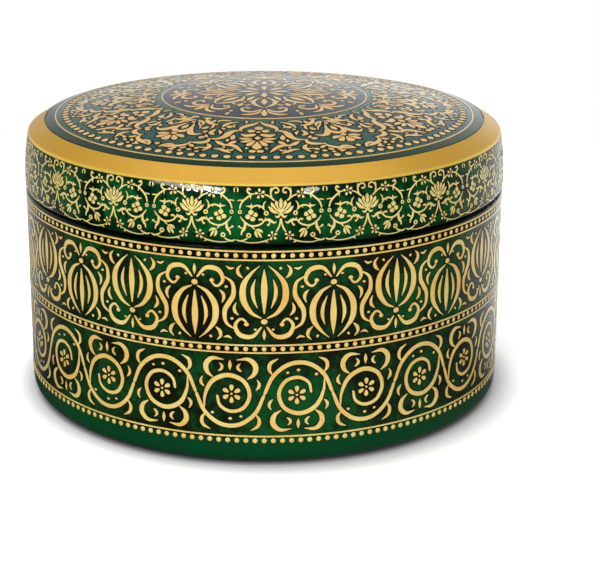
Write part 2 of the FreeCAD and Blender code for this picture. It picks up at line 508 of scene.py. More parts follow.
@dataclass
class WallSurface(Surface):
    """Straight round wall.

    Attributes:
        radius: Radius of the glass.
    """

    radius: float

    def radius_at(self, height: np.ndarray) -> np.ndarray:
        """Returns the radius of the glass at each height."""
        return np.full_like(height, self.radius)

    def tilt_at(self, height: np.ndarray) -> np.ndarray:
        """Returns how far the surface leans inwards at each height, in radians."""
        inwards = self.radius_at(height - LEAN_RISE) - self.radius_at(height + LEAN_RISE)
        return np.arctan2(inwards, 2 * LEAN_RISE)

    def wrap(self, flat: np.ndarray) -> np.ndarray:
        """Wraps a drawing round the wall.

        Args:
            flat: Points as (across, up, lift).

        Returns:
            Points as (x, y, z).
        """
        across, up, lift = flat.T
        angle = across / self.radius
        tilt = self.tilt_at(up)
        radius = self.radius_at(up) + lift * np.cos(tilt)
        height = up + lift * np.sin(tilt)
        return np.stack([radius * np.sin(angle), -radius * np.cos(angle), height], axis=1)

    def repeated(self, unit: Patch, count: int, degrees: float) -> Patch:
        """Sets copies of a unit round the wall.

        Args:
            unit: Patch drawn about the front of the surface.
            count: Number of copies.
            degrees: Place of the first copy, to the right of the front.

        Returns:
            All the copies as one patch.
        """
        turn = 2 * math.pi * self.radius
        first = turn * degrees / 360
        return Patch.joined(unit.moved(first + turn * index / count) for index in range(count))


@dataclass
class SkirtSurface(WallSurface):
    """Bulged skirt of the lid, with heights above the lid's foot.

    Attributes:
        top_radius: Radius at the top of the skirt.
        height: Height of the skirt.
        bulge_radius: Radius of its bulged side.
        foot_round: Radius of its rounded foot.
        base: Height of the lid's foot in the scene.
    """

    top_radius: float
    height: float
    bulge_radius: float
    foot_round: float
    base: float

    def radius_at(self, height: np.ndarray) -> np.ndarray:
        """Works out the outline of the skirt.

        Args:
            height: Heights above the lid's foot.

        Returns:
            The radius of the skirt at each height.
        """
        share = np.clip(height / self.height, 0, 1)
        chord = self.radius + (self.top_radius - self.radius) * share
        run = self.height * (share - 0.5)
        sag = math.sqrt(self.bulge_radius**2 - self.height**2 / 4)
        side = chord + np.sqrt(self.bulge_radius**2 - run**2) - sag
        drop = np.clip(self.foot_round - height, 0, self.foot_round)
        return side - self.foot_round + np.sqrt(self.foot_round**2 - drop**2)

    def wrap(self, flat: np.ndarray) -> np.ndarray:
        """Wraps a drawing round the skirt."""
        return super().wrap(flat) + (0, 0, self.base)


@dataclass
class DomeSurface(Surface):
    """Dome of the lid, drawn from above with the distance from its middle as up.

    Attributes:
        rim_radius: Radius of the dome's rim.
        rise: Height of the crown over the rim.
        crown: Height of the crown in the scene.
        turns_over: Whether wrapping a drawing turns its faces over.
    """

    rim_radius: float
    rise: float
    crown: float
    turns_over: bool = True

    @property
    def sphere(self) -> float:
        """Returns the radius of the dome's sphere."""
        return (self.rim_radius**2 + self.rise**2) / (2 * self.rise)

    def wrap(self, flat: np.ndarray) -> np.ndarray:
        """Lays a drawing over the dome.

        Args:
            flat: Points as (across, up, lift).

        Returns:
            Points as (x, y, z).
        """
        across, up, lift = flat.T
        height = np.sqrt(self.sphere**2 - across**2 - up**2)
        on_sphere = np.stack([across, -up, height], axis=1)
        raised = on_sphere * (1 + lift / self.sphere)[:, None]
        return raised + (0, 0, self.crown - self.sphere)

    def repeated(self, unit: Patch, count: int, degrees: float) -> Patch:
        """Sets copies of a unit round the dome."""
        return Patch.joined(unit.turned(degrees + 360 * index / count) for index in range(count))


# Finishes


# Noise and gloss of the finishes
FLECK_SHARE = 0.32
CLOUD_SPAN = (0.36, 0.64)
GRAIN_SHARE = 0.4
TONE_SPAN = (0.35, 0.65)
GRAIN_SPAN = (0.3, 0.7)
GLAZE_ROUGHNESS = 0.05


class SocketKind(Enum):
    """Kinds of sockets on a shader node group."""

    NUMBER = "NodeSocketFloat"
    COLOUR = "NodeSocketColor"


class Mixer(Enum):
    """Mixing nodes: type, kind of data, places of both sides, and place of the result."""

    NUMBERS = ("ShaderNodeMix", "FLOAT", 2, 3, 0)
    COLOURS = ("ShaderNodeMix", "RGBA", 6, 7, 2)
    SHADERS = ("ShaderNodeMixShader", "", 1, 2, 0)


class NodeSheet:
    """Short way to lay out a node tree.

    Attributes:
        tree: The node tree.
    """

    def __init__(self, tree: bpy.types.NodeTree) -> None:
        """Starts on an empty tree."""
        self.tree = tree
        tree.nodes.clear()

    def add(self, kind: str, **values: object) -> bpy.types.Node:
        """Adds a node and sets its properties and input values.

        Args:
            kind: Blender's name for the node type.
            **values: Node properties, or input sockets by name with spaces as underscores.

        Returns:
            The new node.
        """
        node = self.tree.nodes.new(kind)
        for name, value in values.items():
            if hasattr(node, name):
                setattr(node, name, value)
            else:
                node.inputs[name.replace("_", " ")].default_value = value
        return node

    def link(self, source: bpy.types.NodeSocket, target: bpy.types.NodeSocket) -> None:
        """Joins two sockets."""
        self.tree.links.new(source, target)

    def feed(self, target: bpy.types.NodeSocket, value: Feed) -> None:
        """Joins a socket to another one, or gives it a plain value.

        Args:
            target: Socket to feed.
            value: Socket to join it to, or a colour or number to set.
        """
        if isinstance(value, bpy.types.NodeSocket):
            self.link(value, target)
        elif isinstance(value, tuple):
            target.default_value = (*value, 1)
        else:
            target.default_value = value

    def mixed(self, mixer: Mixer, share: Feed, first: Feed, second: Feed) -> bpy.types.NodeSocket:
        """Mixes two numbers, colours or shaders.

        Args:
            mixer: What is mixed.
            share: Share of the second side.
            first: What shows where the share is zero.
            second: What shows where the share is one.

        Returns:
            The mix's socket.
        """
        kind, data_type, first_place, second_place, result = mixer.value
        node = self.add(kind)
        if data_type:
            node.data_type = data_type
        for place, value in ((0, share), (first_place, first), (second_place, second)):
            self.feed(node.inputs[place], value)
        return node.outputs[result]

    def combined(self, operation: str, *values: bpy.types.NodeSocket) -> bpy.types.NodeSocket:
        """Combines values one after the other.

        Args:
            operation: Blender's name for the sum.
            *values: Sockets of two or more values.

        Returns:
            The result's socket.
        """
        result = values[0]
        for value in values[1:]:
            node = self.add("ShaderNodeMath", operation=operation)
            self.link(result, node.inputs[0])
            self.link(value, node.inputs[1])
            result = node.outputs[0]
        return result

    def ramp(
        self,
        value: bpy.types.NodeSocket,
        span: Span,
        levels: Span = (0.0, 1.0),
        soft: bool = False,
    ) -> bpy.types.NodeSocket:
        """Maps a value from one span to another and keeps it there.

        Args:
            value: Socket of the value.
            span: Values where the ramp starts and ends.
            levels: What it gives at its start and at its end.
            soft: Whether it eases in and out.

        Returns:
            The mapped value's socket.
        """
        kind = "SMOOTHSTEP" if soft else "LINEAR"
        node = self.add("ShaderNodeMapRange", interpolation_type=kind)
        for name, level in zip(("From Min", "From Max", "To Min", "To Max"), (*span, *levels)):
            node.inputs[name].default_value = level
        self.link(value, node.inputs["Value"])
        return node.outputs["Result"]

    def vector(self, operation: str, value: bpy.types.NodeSocket) -> bpy.types.Node:
        """Adds a sum on one vector.

        Args:
            operation: Blender's name for the sum.
            value: Socket of the vector.

        Returns:
            The new node.
        """
        node = self.add("ShaderNodeVectorMath", operation=operation)
        self.link(value, node.inputs[0])
        return node

    def axes(self, place: bpy.types.NodeSocket) -> dict[str, bpy.types.NodeSocket]:
        """Splits a place into its parts.

        Args:
            place: Socket of the place.

        Returns:
            Sockets of X, Y and Z by name.
        """
        split = self.add("ShaderNodeSeparateXYZ")
        self.link(place, split.inputs[0])
        return {name: split.outputs[name] for name in "XYZ"}


class GroupSheet(NodeSheet):
    """Sheet of a shader node group.

    Attributes:
        given: The group's inputs, by name.
        wanted: The group's outputs, by name.
    """

    def __init__(
        self,
        name: str,
        inputs: dict[str, SocketKind],
        outputs: dict[str, SocketKind],
    ) -> None:
        """Starts an empty group.

        Args:
            name: Name of the group.
            inputs: Kind of each input by name.
            outputs: Kind of each output by name.
        """
        super().__init__(bpy.data.node_groups.new(name, "ShaderNodeTree"))
        for way, sockets in (("INPUT", inputs), ("OUTPUT", outputs)):
            for label, kind in sockets.items():
                self.tree.interface.new_socket(name=label, in_out=way, socket_type=kind.value)
        inlet = self.add("NodeGroupInput")
        outlet = self.add("NodeGroupOutput")
        self.given = {label: inlet.outputs[label] for label in inputs}
        self.wanted = {label: outlet.inputs[label] for label in outputs}

    def noise(
        self,
        scale: str,
        detail: float,
        roughness: float,
        distortion: float = 0.0,
    ) -> bpy.types.NodeSocket:
        """Adds a cloudy noise over the object's own space.

        Args:
            scale: Name of the group's input that sets its scale.
            detail: Number of finer layers in it.
            roughness: Weight of the finer layers.
            distortion: How far it is warped.

        Returns:
            The noise's socket.
        """
        place = self.add("ShaderNodeTexCoord")
        node = self.add("ShaderNodeTexNoise", Detail=detail, Roughness=roughness)
        node.inputs["Distortion"].default_value = distortion
        self.link(place.outputs["Object"], node.inputs["Vector"])
        self.link(self.given[scale], node.inputs["Scale"])
        return node.outputs["Fac"]


def mottle_group() -> bpy.types.NodeTree:
    """Builds the cloudy colour of hand-coloured glass and enamel.

    Returns:
        A group with a colour and a cloud mask that change over the surface.
    """
    number, colour = SocketKind.NUMBER, SocketKind.COLOUR
    sheet = GroupSheet(
        "mottled_depth",
        {
            "Cloud Scale": number,
            "Fleck Scale": number,
            "Light": colour,
            "Dark": colour,
            "Balance": number,
        },
        {"Colour": colour, "Cloud": number},
    )
    cloud = sheet.noise("Cloud Scale", detail=3.0, roughness=0.55, distortion=0.6)
    fleck = sheet.noise("Fleck Scale", detail=2.0, roughness=0.6)
    blend = sheet.mixed(Mixer.NUMBERS, FLECK_SHARE, cloud, fleck)
    shifted = sheet.combined("ADD", blend, sheet.given["Balance"])
    mask = sheet.ramp(shifted, CLOUD_SPAN, soft=True)
    mottled = sheet.mixed(Mixer.COLOURS, mask, sheet.given["Dark"], sheet.given["Light"])
    sheet.link(mottled, sheet.wanted["Colour"])
    sheet.link(mask, sheet.wanted["Cloud"])
    return sheet.tree


def gilt_group() -> bpy.types.NodeTree:
    """Builds the uneven tone of burnished gilt.

    Returns:
        A group with a colour and a fine grain that change over the surface.
    """
    number, colour = SocketKind.NUMBER, SocketKind.COLOUR
    sheet = GroupSheet(
        "burnished_gilt",
        {"Patch Scale": number, "Grain Scale": number, "Bright": colour, "Warm": colour},
        {"Colour": colour, "Grain": number},
    )
    patch = sheet.noise("Patch Scale", detail=2.0, roughness=0.5)
    grain = sheet.noise("Grain Scale", detail=2.0, roughness=0.6)
    tone = sheet.ramp(sheet.mixed(Mixer.NUMBERS, GRAIN_SHARE, patch, grain), TONE_SPAN)
    toned = sheet.mixed(Mixer.COLOURS, tone, sheet.given["Warm"], sheet.given["Bright"])
    sheet.link(toned, sheet.wanted["Colour"])
    sheet.link(grain, sheet.wanted["Grain"])
    return sheet.tree


class MaterialSheet(NodeSheet):
    """Sheet of a material with one glossy shader that a shared group colours.

    Attributes:
        material: The material.
        shader: Its shader node.
        masks: Outputs of the shared group, by name.
    """

    def __init__(
        self,
        name: str,
        group: bpy.types.NodeTree,
        values: dict[str, Feed],
        tints_and_painted_light: Sequence[HeightBand],
    ) -> None:
        """Starts the material and colours it.

        Args:
            name: Name of the material.
            group: Shared group that gives the colour.
            values: Values of the group's inputs by name.
            tints_and_painted_light: Heights in millimetres, each with a colour that covers it and how far.
        """
        self.material = bpy.data.materials.new(name)
        self.material.use_nodes = True
        super().__init__(self.material.node_tree)
        self.shader = self.add("ShaderNodeBsdfPrincipled")
        output = self.add("ShaderNodeOutputMaterial")
        self.link(self.shader.outputs["BSDF"], output.inputs["Surface"])
        paint = self.add("ShaderNodeGroup", node_tree=group)
        for label, value in values.items():
            self.feed(paint.inputs[label], value)
        self.masks = paint.outputs
        colour = paint.outputs["Colour"]
        if tints_and_painted_light:
            colour = self.covered(colour, tints_and_painted_light)
        self.link(colour, self.shader.inputs["Base Color"])

    def covered(
        self,
        colour: bpy.types.NodeSocket,
        tints_and_painted_light: Sequence[HeightBand],
    ) -> bpy.types.NodeSocket:
        """Lets other colours cover a colour by the height on the piece, for tints and for painted
        shade and highlights.

        Args:
            colour: Socket of the colour to cover.
            tints_and_painted_light: Heights in millimetres, rising, each with its colour and how
                far it covers.

        Returns:
            The socket of the colour that shows.
        """
        lowest, highest = tints_and_painted_light[0][0], tints_and_painted_light[-1][0]
        place = self.add("ShaderNodeTexCoord")
        height = self.axes(place.outputs["Object"])["Z"]
        shades = self.add("ShaderNodeValToRGB")
        stops = shades.color_ramp.elements
        for level, _, _ in tints_and_painted_light[1:-1]:
            stops.new((level - lowest) / (highest - lowest))
        for stop, (_, shade, cover) in zip(stops, tints_and_painted_light):
            stop.color = (*shade, cover)
        self.link(self.ramp(height, (lowest * MM, highest * MM)), shades.inputs["Fac"])
        return self.mixed(Mixer.COLOURS, shades.outputs["Alpha"], colour, shades.outputs["Color"])

    def roughen(self, mask: str, roughness: Span) -> None:
        """Lets one of the group's masks set the roughness.

        Args:
            mask: Name of the mask.
            roughness: Roughness where the mask is low and where it is high.
        """
        spread = self.ramp(self.masks[mask], GRAIN_SPAN, roughness)
        self.link(spread, self.shader.inputs["Roughness"])

    def emboss(self, mask: str, depth: float) -> None:
        """Lets one of the group's masks raise a fine bump.

        Args:
            mask: Name of the mask.
            depth: Depth of the bump in metres.
        """
        bump = self.add("ShaderNodeBump", Strength=1.0, Distance=depth)
        self.link(self.masks[mask], bump.inputs["Height"])
        self.link(bump.outputs["Normal"], self.shader.inputs["Normal"])


@dataclass(frozen=True)
class MottledFinish:
    """Glossy finish with a cloudy depth of colour, as of coloured glass or enamel.

    Attributes:
        name: Name of the material.
        light: Lighter colour of the clouds.
        dark: Darker colour of the clouds.
        cloud_scale: Clouds in a metre.
        fleck_scale: Flecks in a metre.
        balance: Shift towards the light colour.
        roughness: Lowest and highest roughness.
        gloss: Refractive index of the surface.
        tints_and_painted_light: Heights in millimetres, each with a colour that covers the clouds and how far.
    """

    name: str
    light: Colour
    dark: Colour
    cloud_scale: float = 70.0
    fleck_scale: float = 420.0
    balance: float = 0.0
    roughness: Span = (0.03, 0.07)
    gloss: float = 1.5
    tints_and_painted_light: tuple[HeightBand, ...] = ()

    def material(self, mottle: bpy.types.NodeTree) -> bpy.types.Material:
        """Builds the material around the shared mottle group.

        Args:
            mottle: The mottle group.

        Returns:
            The material.
        """
        values = {
            "Cloud Scale": self.cloud_scale,
            "Fleck Scale": self.fleck_scale,
            "Light": self.light,
            "Dark": self.dark,
            "Balance": self.balance,
        }
        sheet = MaterialSheet(self.name, mottle, values, self.tints_and_painted_light)
        sheet.roughen("Cloud", self.roughness)
        sheet.shader.inputs["IOR"].default_value = self.gloss
        return sheet.material


@dataclass(frozen=True)
class GiltFinish:
    """Fired gilt, part metal and part pigment.

    Attributes:
        name: Name of the material.
        bright: Colour where it is burnished.
        warm: Colour where it is duller.
        patch_scale: Patches in a metre.
        grain_scale: Grains in a metre.
        metallic: Share of metal.
        roughness: Lowest and highest roughness.
        grain_depth: Depth of the grain in metres.
        glazed: Whether a clear gloss covers the gilt.
        tints_and_painted_light: Heights in millimetres, each with a colour that covers the gilt and how far.
    """

    name: str
    bright: Colour
    warm: Colour
    patch_scale: float
    grain_scale: float
    metallic: float
    roughness: Span
    grain_depth: float
    glazed: bool
    tints_and_painted_light: tuple[HeightBand, ...] = ()

    def material(self, gilt: bpy.types.NodeTree) -> bpy.types.Material:
        """Builds the material around the shared gilt group.

        Args:
            gilt: The gilt group.

        Returns:
            The material.
        """
        values = {
            "Patch Scale": self.patch_scale,
            "Grain Scale": self.grain_scale,
            "Bright": self.bright,
            "Warm": self.warm,
        }
        sheet = MaterialSheet(self.name, gilt, values, self.tints_and_painted_light)
        sheet.roughen("Grain", self.roughness)
        sheet.emboss("Grain", self.grain_depth)
        sheet.shader.inputs["Metallic"].default_value = self.metallic
        if self.glazed:
            sheet.shader.inputs["Coat Weight"].default_value = 1.0
            sheet.shader.inputs["Coat Roughness"].default_value = GLAZE_ROUGHNESS
        return sheet.material


# Painted shade: black for the seam between lid and body, at the top of the wall and the lid's foot
SEAM_SHADE_BLACK = srgb(1, 5, 2)
FOOT_GREEN = srgb(1, 63, 31)
SHADED_GREEN = srgb(4, 30, 14)
# Painted shade with a bluish painted sheen, which makes the dome a darker teal than the skirt's
# green glass
DOME_EDGE_SHADE_TEAL = srgb(2, 44, 31)
DOME_SHADE_TEAL = srgb(30, 86, 81)
# Painted highlight along the lower edge of the gilt band
EDGE_HIGHLIGHT_GOLD = srgb(251, 209, 87)

LEAF_GILT = GiltFinish(
    name="ornament_gilt",
    bright=srgb(255, 231, 142),
    warm=srgb(244, 192, 96),
    patch_scale=90.0,
    grain_scale=1500.0,
    metallic=0.2,
    roughness=(0.32, 0.45),
    grain_depth=0.00001,
    glazed=True,
)


class Finish(Enum):
    """Finishes of the box."""

    BODY_GLASS = MottledFinish(
        name="body_green_glass",
        light=srgb(8, 74, 32),
        dark=srgb(14, 18, 5),
        cloud_scale=42.0,
        balance=-0.035,
        tints_and_painted_light=(
            (0.0, SHADED_GREEN, 1.0),
            (2.5, FOOT_GREEN, 0.9),
            (9.0, FOOT_GREEN, 0.8),
            (10.4, FOOT_GREEN, 0.0),
            # painted shade at the top of the wall, in the seam under the lid
            (76.0, SEAM_SHADE_BLACK, 0.0),
            (78.6, SEAM_SHADE_BLACK, 1.0),
        ),
    )
    LID_GLASS = MottledFinish(
        name="lid_green_glass",
        light=srgb(2, 90, 39),
        dark=srgb(3, 22, 7),
        cloud_scale=75.0,
        balance=-0.05,
        tints_and_painted_light=(
            # painted shade on the skirt's rounded foot, by the seam
            (79.0, SEAM_SHADE_BLACK, 1.0),
            (81.5, SEAM_SHADE_BLACK, 0.5),
            (84.5, SEAM_SHADE_BLACK, 0.0),
            (95.0, SHADED_GREEN, 0.0),
            (98.6, SHADED_GREEN, 0.8),
            # painted shade and a bluish painted sheen over the dome, darker than the skirt
            (104.1, DOME_EDGE_SHADE_TEAL, 0.9),
            (105.0, DOME_EDGE_SHADE_TEAL, 0.9),
            (105.3, DOME_SHADE_TEAL, 0.62),
            (113.0, DOME_SHADE_TEAL, 0.62),
        ),
    )
    DARK_ENAMEL = MottledFinish(
        name="dark_enamel",
        light=srgb(14, 24, 17),
        dark=srgb(4, 9, 6),
        cloud_scale=160.0,
        gloss=1.2,
    )
    VIOLET_ENAMEL = MottledFinish(
        name="violet_enamel",
        light=srgb(44, 44, 64),
        dark=srgb(28, 30, 44),
        cloud_scale=110.0,
    )
    ORNAMENT_GILT = LEAF_GILT
    SKIRT_GILT = replace(
        LEAF_GILT,
        name="skirt_gilt",
        bright=srgb(244, 231, 148),
        warm=srgb(236, 206, 118),
    )
    DOME_GILT = replace(
        LEAF_GILT,
        name="dome_gilt",
        bright=srgb(248, 204, 120),
        warm=srgb(236, 184, 102),
    )
    BAND_GILT = GiltFinish(
        name="band_gilt",
        bright=srgb(219, 169, 58),
        warm=srgb(212, 160, 52),
        patch_scale=30.0,
        grain_scale=900.0,
        metallic=0.4,
        roughness=(0.28, 0.36),
        grain_depth=0.000005,
        glazed=False,
        tints_and_painted_light=(
            # painted highlight along the band's lower edge
            (99.4, EDGE_HIGHLIGHT_GOLD, 1.0),
            (100.1, EDGE_HIGHLIGHT_GOLD, 1.0),
            (100.6, EDGE_HIGHLIGHT_GOLD, 0.0),
            (104.2, EDGE_HIGHLIGHT_GOLD, 0.0),
        ),
    )


Lay = Callable[[Drawing], Patch]
Layer = tuple[str, Finish, Lay]


def layers(gold: Finish) -> tuple[Layer, ...]:
    """Lists the layers of an ornament, each with its finish and how its drawings are laid."""
    return ("gold", gold, Drawing.gold), ("outlines", Finish.DARK_ENAMEL, Drawing.dark)


class Workshop:
    """Holds the finished materials and sets ornament on the box.

    Attributes:
        materials: The material of each finish.
    """

    def __init__(self) -> None:
        """Builds the shared groups and every material."""
        mottle = mottle_group()
        gilt = gilt_group()
        self.materials: dict[Finish, bpy.types.Material] = {}
        for finish in Finish:
            shared = mottle if isinstance(finish.value, MottledFinish) else gilt
            self.materials[finish] = finish.value.material(shared)

    def fire(
        self,
        name: str,
        patch: Patch,
        surface: Surface,
        finish: Finish,
        body: BodyName,
        smooth: bool = False,
    ) -> bpy.types.Object:
        """Sets a patch on the glass as a piece of its own.

        Args:
            name: Name of the piece.
            patch: All its faces on the flat drawing.
            surface: Glass that it lies on.
            finish: Finish of the piece.
            body: Body that it moves with.
            smooth: Whether its faces are shaded as one rounded form.

        Returns:
            The new piece.
        """
        places = surface.wrap(patch.points) * MM
        order = -1 if surface.turns_over else 1
        faces = [row for rows in patch.faces.values() for row in rows[:, ::order].tolist()]
        mesh = bpy.data.meshes.new(name)
        mesh.from_pydata(places.tolist(), [], faces)
        if smooth:
            mesh.shade_smooth()
        else:
            mesh.shade_flat()
        mesh.materials.append(self.materials[finish])
        piece = bpy.data.objects.new(name, mesh)
        bpy.context.scene.collection.objects.link(piece)
        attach(piece, body.value)
        LOG.info("%s: %d points, %d faces", name, len(places), len(faces))
        return piece

    def dress(self, node: bpy.types.Object, finish: Finish) -> None:
        """Gives a node of the frame its finish.

        Args:
            node: Node to dress.
            finish: Finish that it gets.
        """
        for material_slot in node.material_slots:
            material_slot.material = self.materials[finish]
        LOG.info("%s: %s", node.name, finish.value.name)


# Sub-assemblies


@dataclass
class Glassware:
    """Glass, gilt and enamel nodes of the frame.

    Attributes:
        nodes: Nodes of the frame by name.
    """

    nodes: dict[str, bpy.types.Object]

    def dress(self, workshop: Workshop) -> None:
        """Gives every node its finish.

        Args:
            workshop: Workshop with the finishes.
        """
        special = {
            "box_body": Finish.BODY_GLASS,
            "lid": Finish.LID_GLASS,
            "gilt_edge_band": Finish.BAND_GILT,
            "dome_line": Finish.DOME_GILT,
            "medallion_ring": Finish.DOME_GILT,
            "medallion_ground": Finish.VIOLET_ENAMEL,
        }
        for name, node in self.nodes.items():
            plain = Finish.DARK_ENAMEL if name.endswith("_ground") else Finish.ORNAMENT_GILT
            workshop.dress(node, special.get(name, plain))


@dataclass(kw_only=True)
class Ornament(ABC):
    """Gold ornament with dark outlines, drawn flat and repeated round the glass.

    Attributes:
        surface: Glass that it lies on.
        body: Body that it moves with.
        gold: Finish of its gold.
        repeats: Repeats round the axis.
        degrees: Place of the front repeat, to the right of the front.
        step: Spacing of the points along a line.
        outline: Width of the dark outline round the gold.
        weight: Boldness, as a share of the widths drawn.
    """

    surface: Surface
    body: BodyName = BodyName.COVER
    gold: Finish
    repeats: int
    degrees: float = 0.0
    step: float
    outline: float = KEYLINE.spread
    weight: float = 1.0

    def drawing(self) -> Drawing:
        """Starts an empty drawing of the ornament's fineness and boldness."""
        return Drawing(self.step, self.outline, self.weight)

    def fire_units(self, workshop: Workshop, units: dict[str, Callable[[Lay], Patch]]) -> None:
        """Sets all repeats of some units on the glass, gold and outlines as a piece each.

        Args:
            workshop: Workshop with the finishes.
            units: What lays one repeat, by the start of its pieces' names.
        """
        for layer, finish, lay in layers(self.gold):
            for name, unit in units.items():
                whole = self.surface.repeated(unit(lay), self.repeats, self.degrees)
                workshop.fire(f"{name}_{layer}", whole, self.surface, finish, self.body)

    @abstractmethod
    def build(self, workshop: Workshop) -> None:
        """Sets the ornament on the glass.

        Args:
            workshop: Workshop with the finishes.
        """


@dataclass(kw_only=True)
class BeadedOrnament(Ornament):
    """Ornament with rows of beads.

    Attributes:
        bead_count: Beads in a row.
        bead_radius: Radius of a bead.
        bead_relief: Height of a bead over the glass.
        bead_sides: Sides of a bead's outline.
    """

    bead_count: int
    bead_radius: float
    bead_relief: float
    bead_sides: int

    def fire_beads(self, workshop: Workshop, name: str, finish: Finish, one: Patch) -> None:
        """Sets a row of beads round the glass as one piece."""
        row = self.surface.repeated(one, self.bead_count, 0)
        workshop.fire(name, row, self.surface, finish, self.body, smooth=True)


@dataclass(kw_only=True)
class SkirtScrolls(Ornament):
    """Running scroll round the lid's skirt, drawn as half a repeat from the palmette outwards."""

    gold: Finish = Finish.SKIRT_GILT
    repeats: int = 19
    degrees: float = 3.5
    step: float = 0.5
    weight: float = 0.92

    def draw_side(self) -> Drawing:
        """Draws what lies to one side of the palmette's axis.

        Returns:
            The drawing, with heights above the lid's foot.
        """
        art = self.drawing()
        # Stem from the palmette to the upper flower, and the horn that springs from it
        art.line((0.7, 0.6, 0.5), (2.1, 15.7), (3.1, 16.6), (4.2, 17.3), (5.5, 17.8))
        art.line((0.5, 0.6, 0.65, 0.6, 0.6, 0.5), (2.9, 16.5), (3.3, 17.6), (3.3, 18.6),
                 (2.7, 19.6),
                 (1.7, 20.0), (0.9, 19.6), (0.7, 18.8), (1.1, 18.2))
        art.spot((1.6, 18.35), 0.95, 0.85)
        art.line((0.5, 0.6, 0.15), (3.3, 17.8), (3.4, 19.0), (3.2, 20.2))
        art.rosette((6.95, 18.0), petals=5, reach=1.75, width=1.0, degrees=80)
        # Outer scroll, its curl and its thorns
        art.line((0.4, 0.65, 0.75, 0.7, 0.6), (8.6, 18.0), (9.6, 17.8), (11.0, 16.9), (12.5, 15.6),
                 (13.3, 14.4), (13.7, 12.9))
        art.line((0.6, 0.7, 0.6, 0.5), (9.6, 17.8), (10.6, 18.1), (11.2, 18.8), (11.1, 19.6),
                 (10.6, 19.9))
        art.spot((10.4, 19.4), 1.0, 0.85)
        art.line((0.7, 0.5, 0.2), (10.1, 17.5), (10.1, 16.9), (10.0, 16.2))
        art.line((0.6, 0.5, 0.4), (12.4, 15.7), (13.5, 15.8), (14.5, 15.6))
        art.ring((13.6, 11.9), 0.75, 0.28)
        # Lower scroll with split leaves
        art.line((0.3, 0.65, 0.75, 0.75, 0.7, 0.6, 0.3), (13.5, 10.4), (12.6, 9.1), (10.8, 7.6),
                 (9.0, 7.2), (7.0, 7.7), (5.7, 8.7), (5.0, 10.1))
        art.line((0.6, 0.95, 1.0, 0.8, 0.35), (5.4, 9.1), (4.1, 9.4), (3.1, 8.9), (2.3, 8.3),
                 (1.4, 8.7))
        art.line((0.7, 0.55, 0.45), (3.9, 9.0), (3.7, 8.2), (4.0, 7.6))
        art.spot((4.25, 7.6), 0.95, 0.85)
        art.line((0.6, 0.6, 0.5), (5.9, 8.6), (6.2, 9.4), (6.8, 9.7))
        art.spot((7.0, 9.4), 0.95, 0.9)
        art.line((0.6, 0.55, 0.4), (10.1, 7.5), (9.3, 6.7), (8.6, 6.0))
        # Inner tendril with its leaf and spike
        art.line((0.4, 0.65, 0.65, 0.6, 0.4), (10.1, 12.7), (9.3, 13.7), (8.1, 14.1), (7.0, 14.0),
                 (6.1, 13.4), (5.3, 12.5))
        art.line((0.15, 0.55, 0.9, 0.5), (11.7, 14.0), (10.9, 13.8), (10.0, 13.8), (9.2, 13.8))
        art.line((0.7, 0.5, 0.15), (9.9, 13.9), (9.7, 14.4), (9.8, 14.8))
        art.line((0.5, 0.3), (7.1, 13.9), (7.3, 13.2))
        art.line((0.7, 0.6, 0.5, 0.2), (5.7, 13.2), (5.8, 14.1), (5.5, 15.0), (4.9, 15.6))
        art.ring((4.85, 11.55), 0.85, 0.3)
        # Four-lobed flower
        for lobe in ((9.9, 11.8), (8.6, 11.0), (9.4, 9.6), (10.9, 10.3)):
            art.spot(lobe, 2.05, 1.9)
        art.slit((0.2, 0.5, 0.2), (9.8, 10.7), (9.2, 11.1), (8.9, 11.9))
        art.slit((0.2, 0.45, 0.2), (9.8, 10.7), (9.2, 10.4), (8.3, 10.2))
        art.slit((0.2, 0.4, 0.2), (9.8, 10.7), (10.1, 10.1), (10.2, 9.4))
        # Hanging leaf
        art.line((0.5, 1.0, 1.15, 0.8, 0.5), (12.1, 8.6), (11.9, 7.4), (12.2, 6.2), (13.0, 5.0),
                 (13.1, 4.0))
        art.line((0.5, 0.5), (12.6, 6.3), (13.6, 6.6))
        art.spot((13.85, 6.95), 0.95, 0.95)
        art.ring((10.7, 3.95), 0.9, 0.34)
        # Tulip bud and lower flower
        art.line((0.4, 1.0, 1.0, 0.3), (8.4, 5.9), (7.5, 5.9), (6.7, 5.6), (6.0, 5.0))
        art.line((0.4, 1.0, 0.9, 0.3), (8.3, 5.7), (8.4, 4.9), (8.2, 4.1), (7.7, 3.3))
        art.line((0.4, 0.9, 0.9, 0.3), (7.8, 5.4), (7.2, 4.6), (6.8, 3.9), (6.4, 3.2))
        art.rosette((2.76, 3.87), petals=5, reach=1.65, width=0.95, degrees=80)
        # Stem under the palmette, and the garland along the foot
        art.line((0.5, 0.65, 0.7, 0.5), (0.15, 9.8), (0.3, 8.2), (0.8, 6.6), (1.7, 5.1))
        art.line((0.5, 0.65, 0.5), (14.8, 2.4), (13.6, 1.95), (12.2, 2.3), (11.1, 3.0))
        art.line((0.3, 0.4, 0.45, 0.5, 0.6), (12.6, 1.8), (10.8, 1.45), (8.4, 1.45), (6.7, 1.7),
                 (5.1, 2.1))
        art.line((0.6, 0.45, 0.15), (5.3, 2.05), (4.6, 2.3), (3.9, 2.8))
        art.line((0.6, 0.45, 0.2), (5.2, 2.0), (4.7, 1.7), (4.2, 1.5))
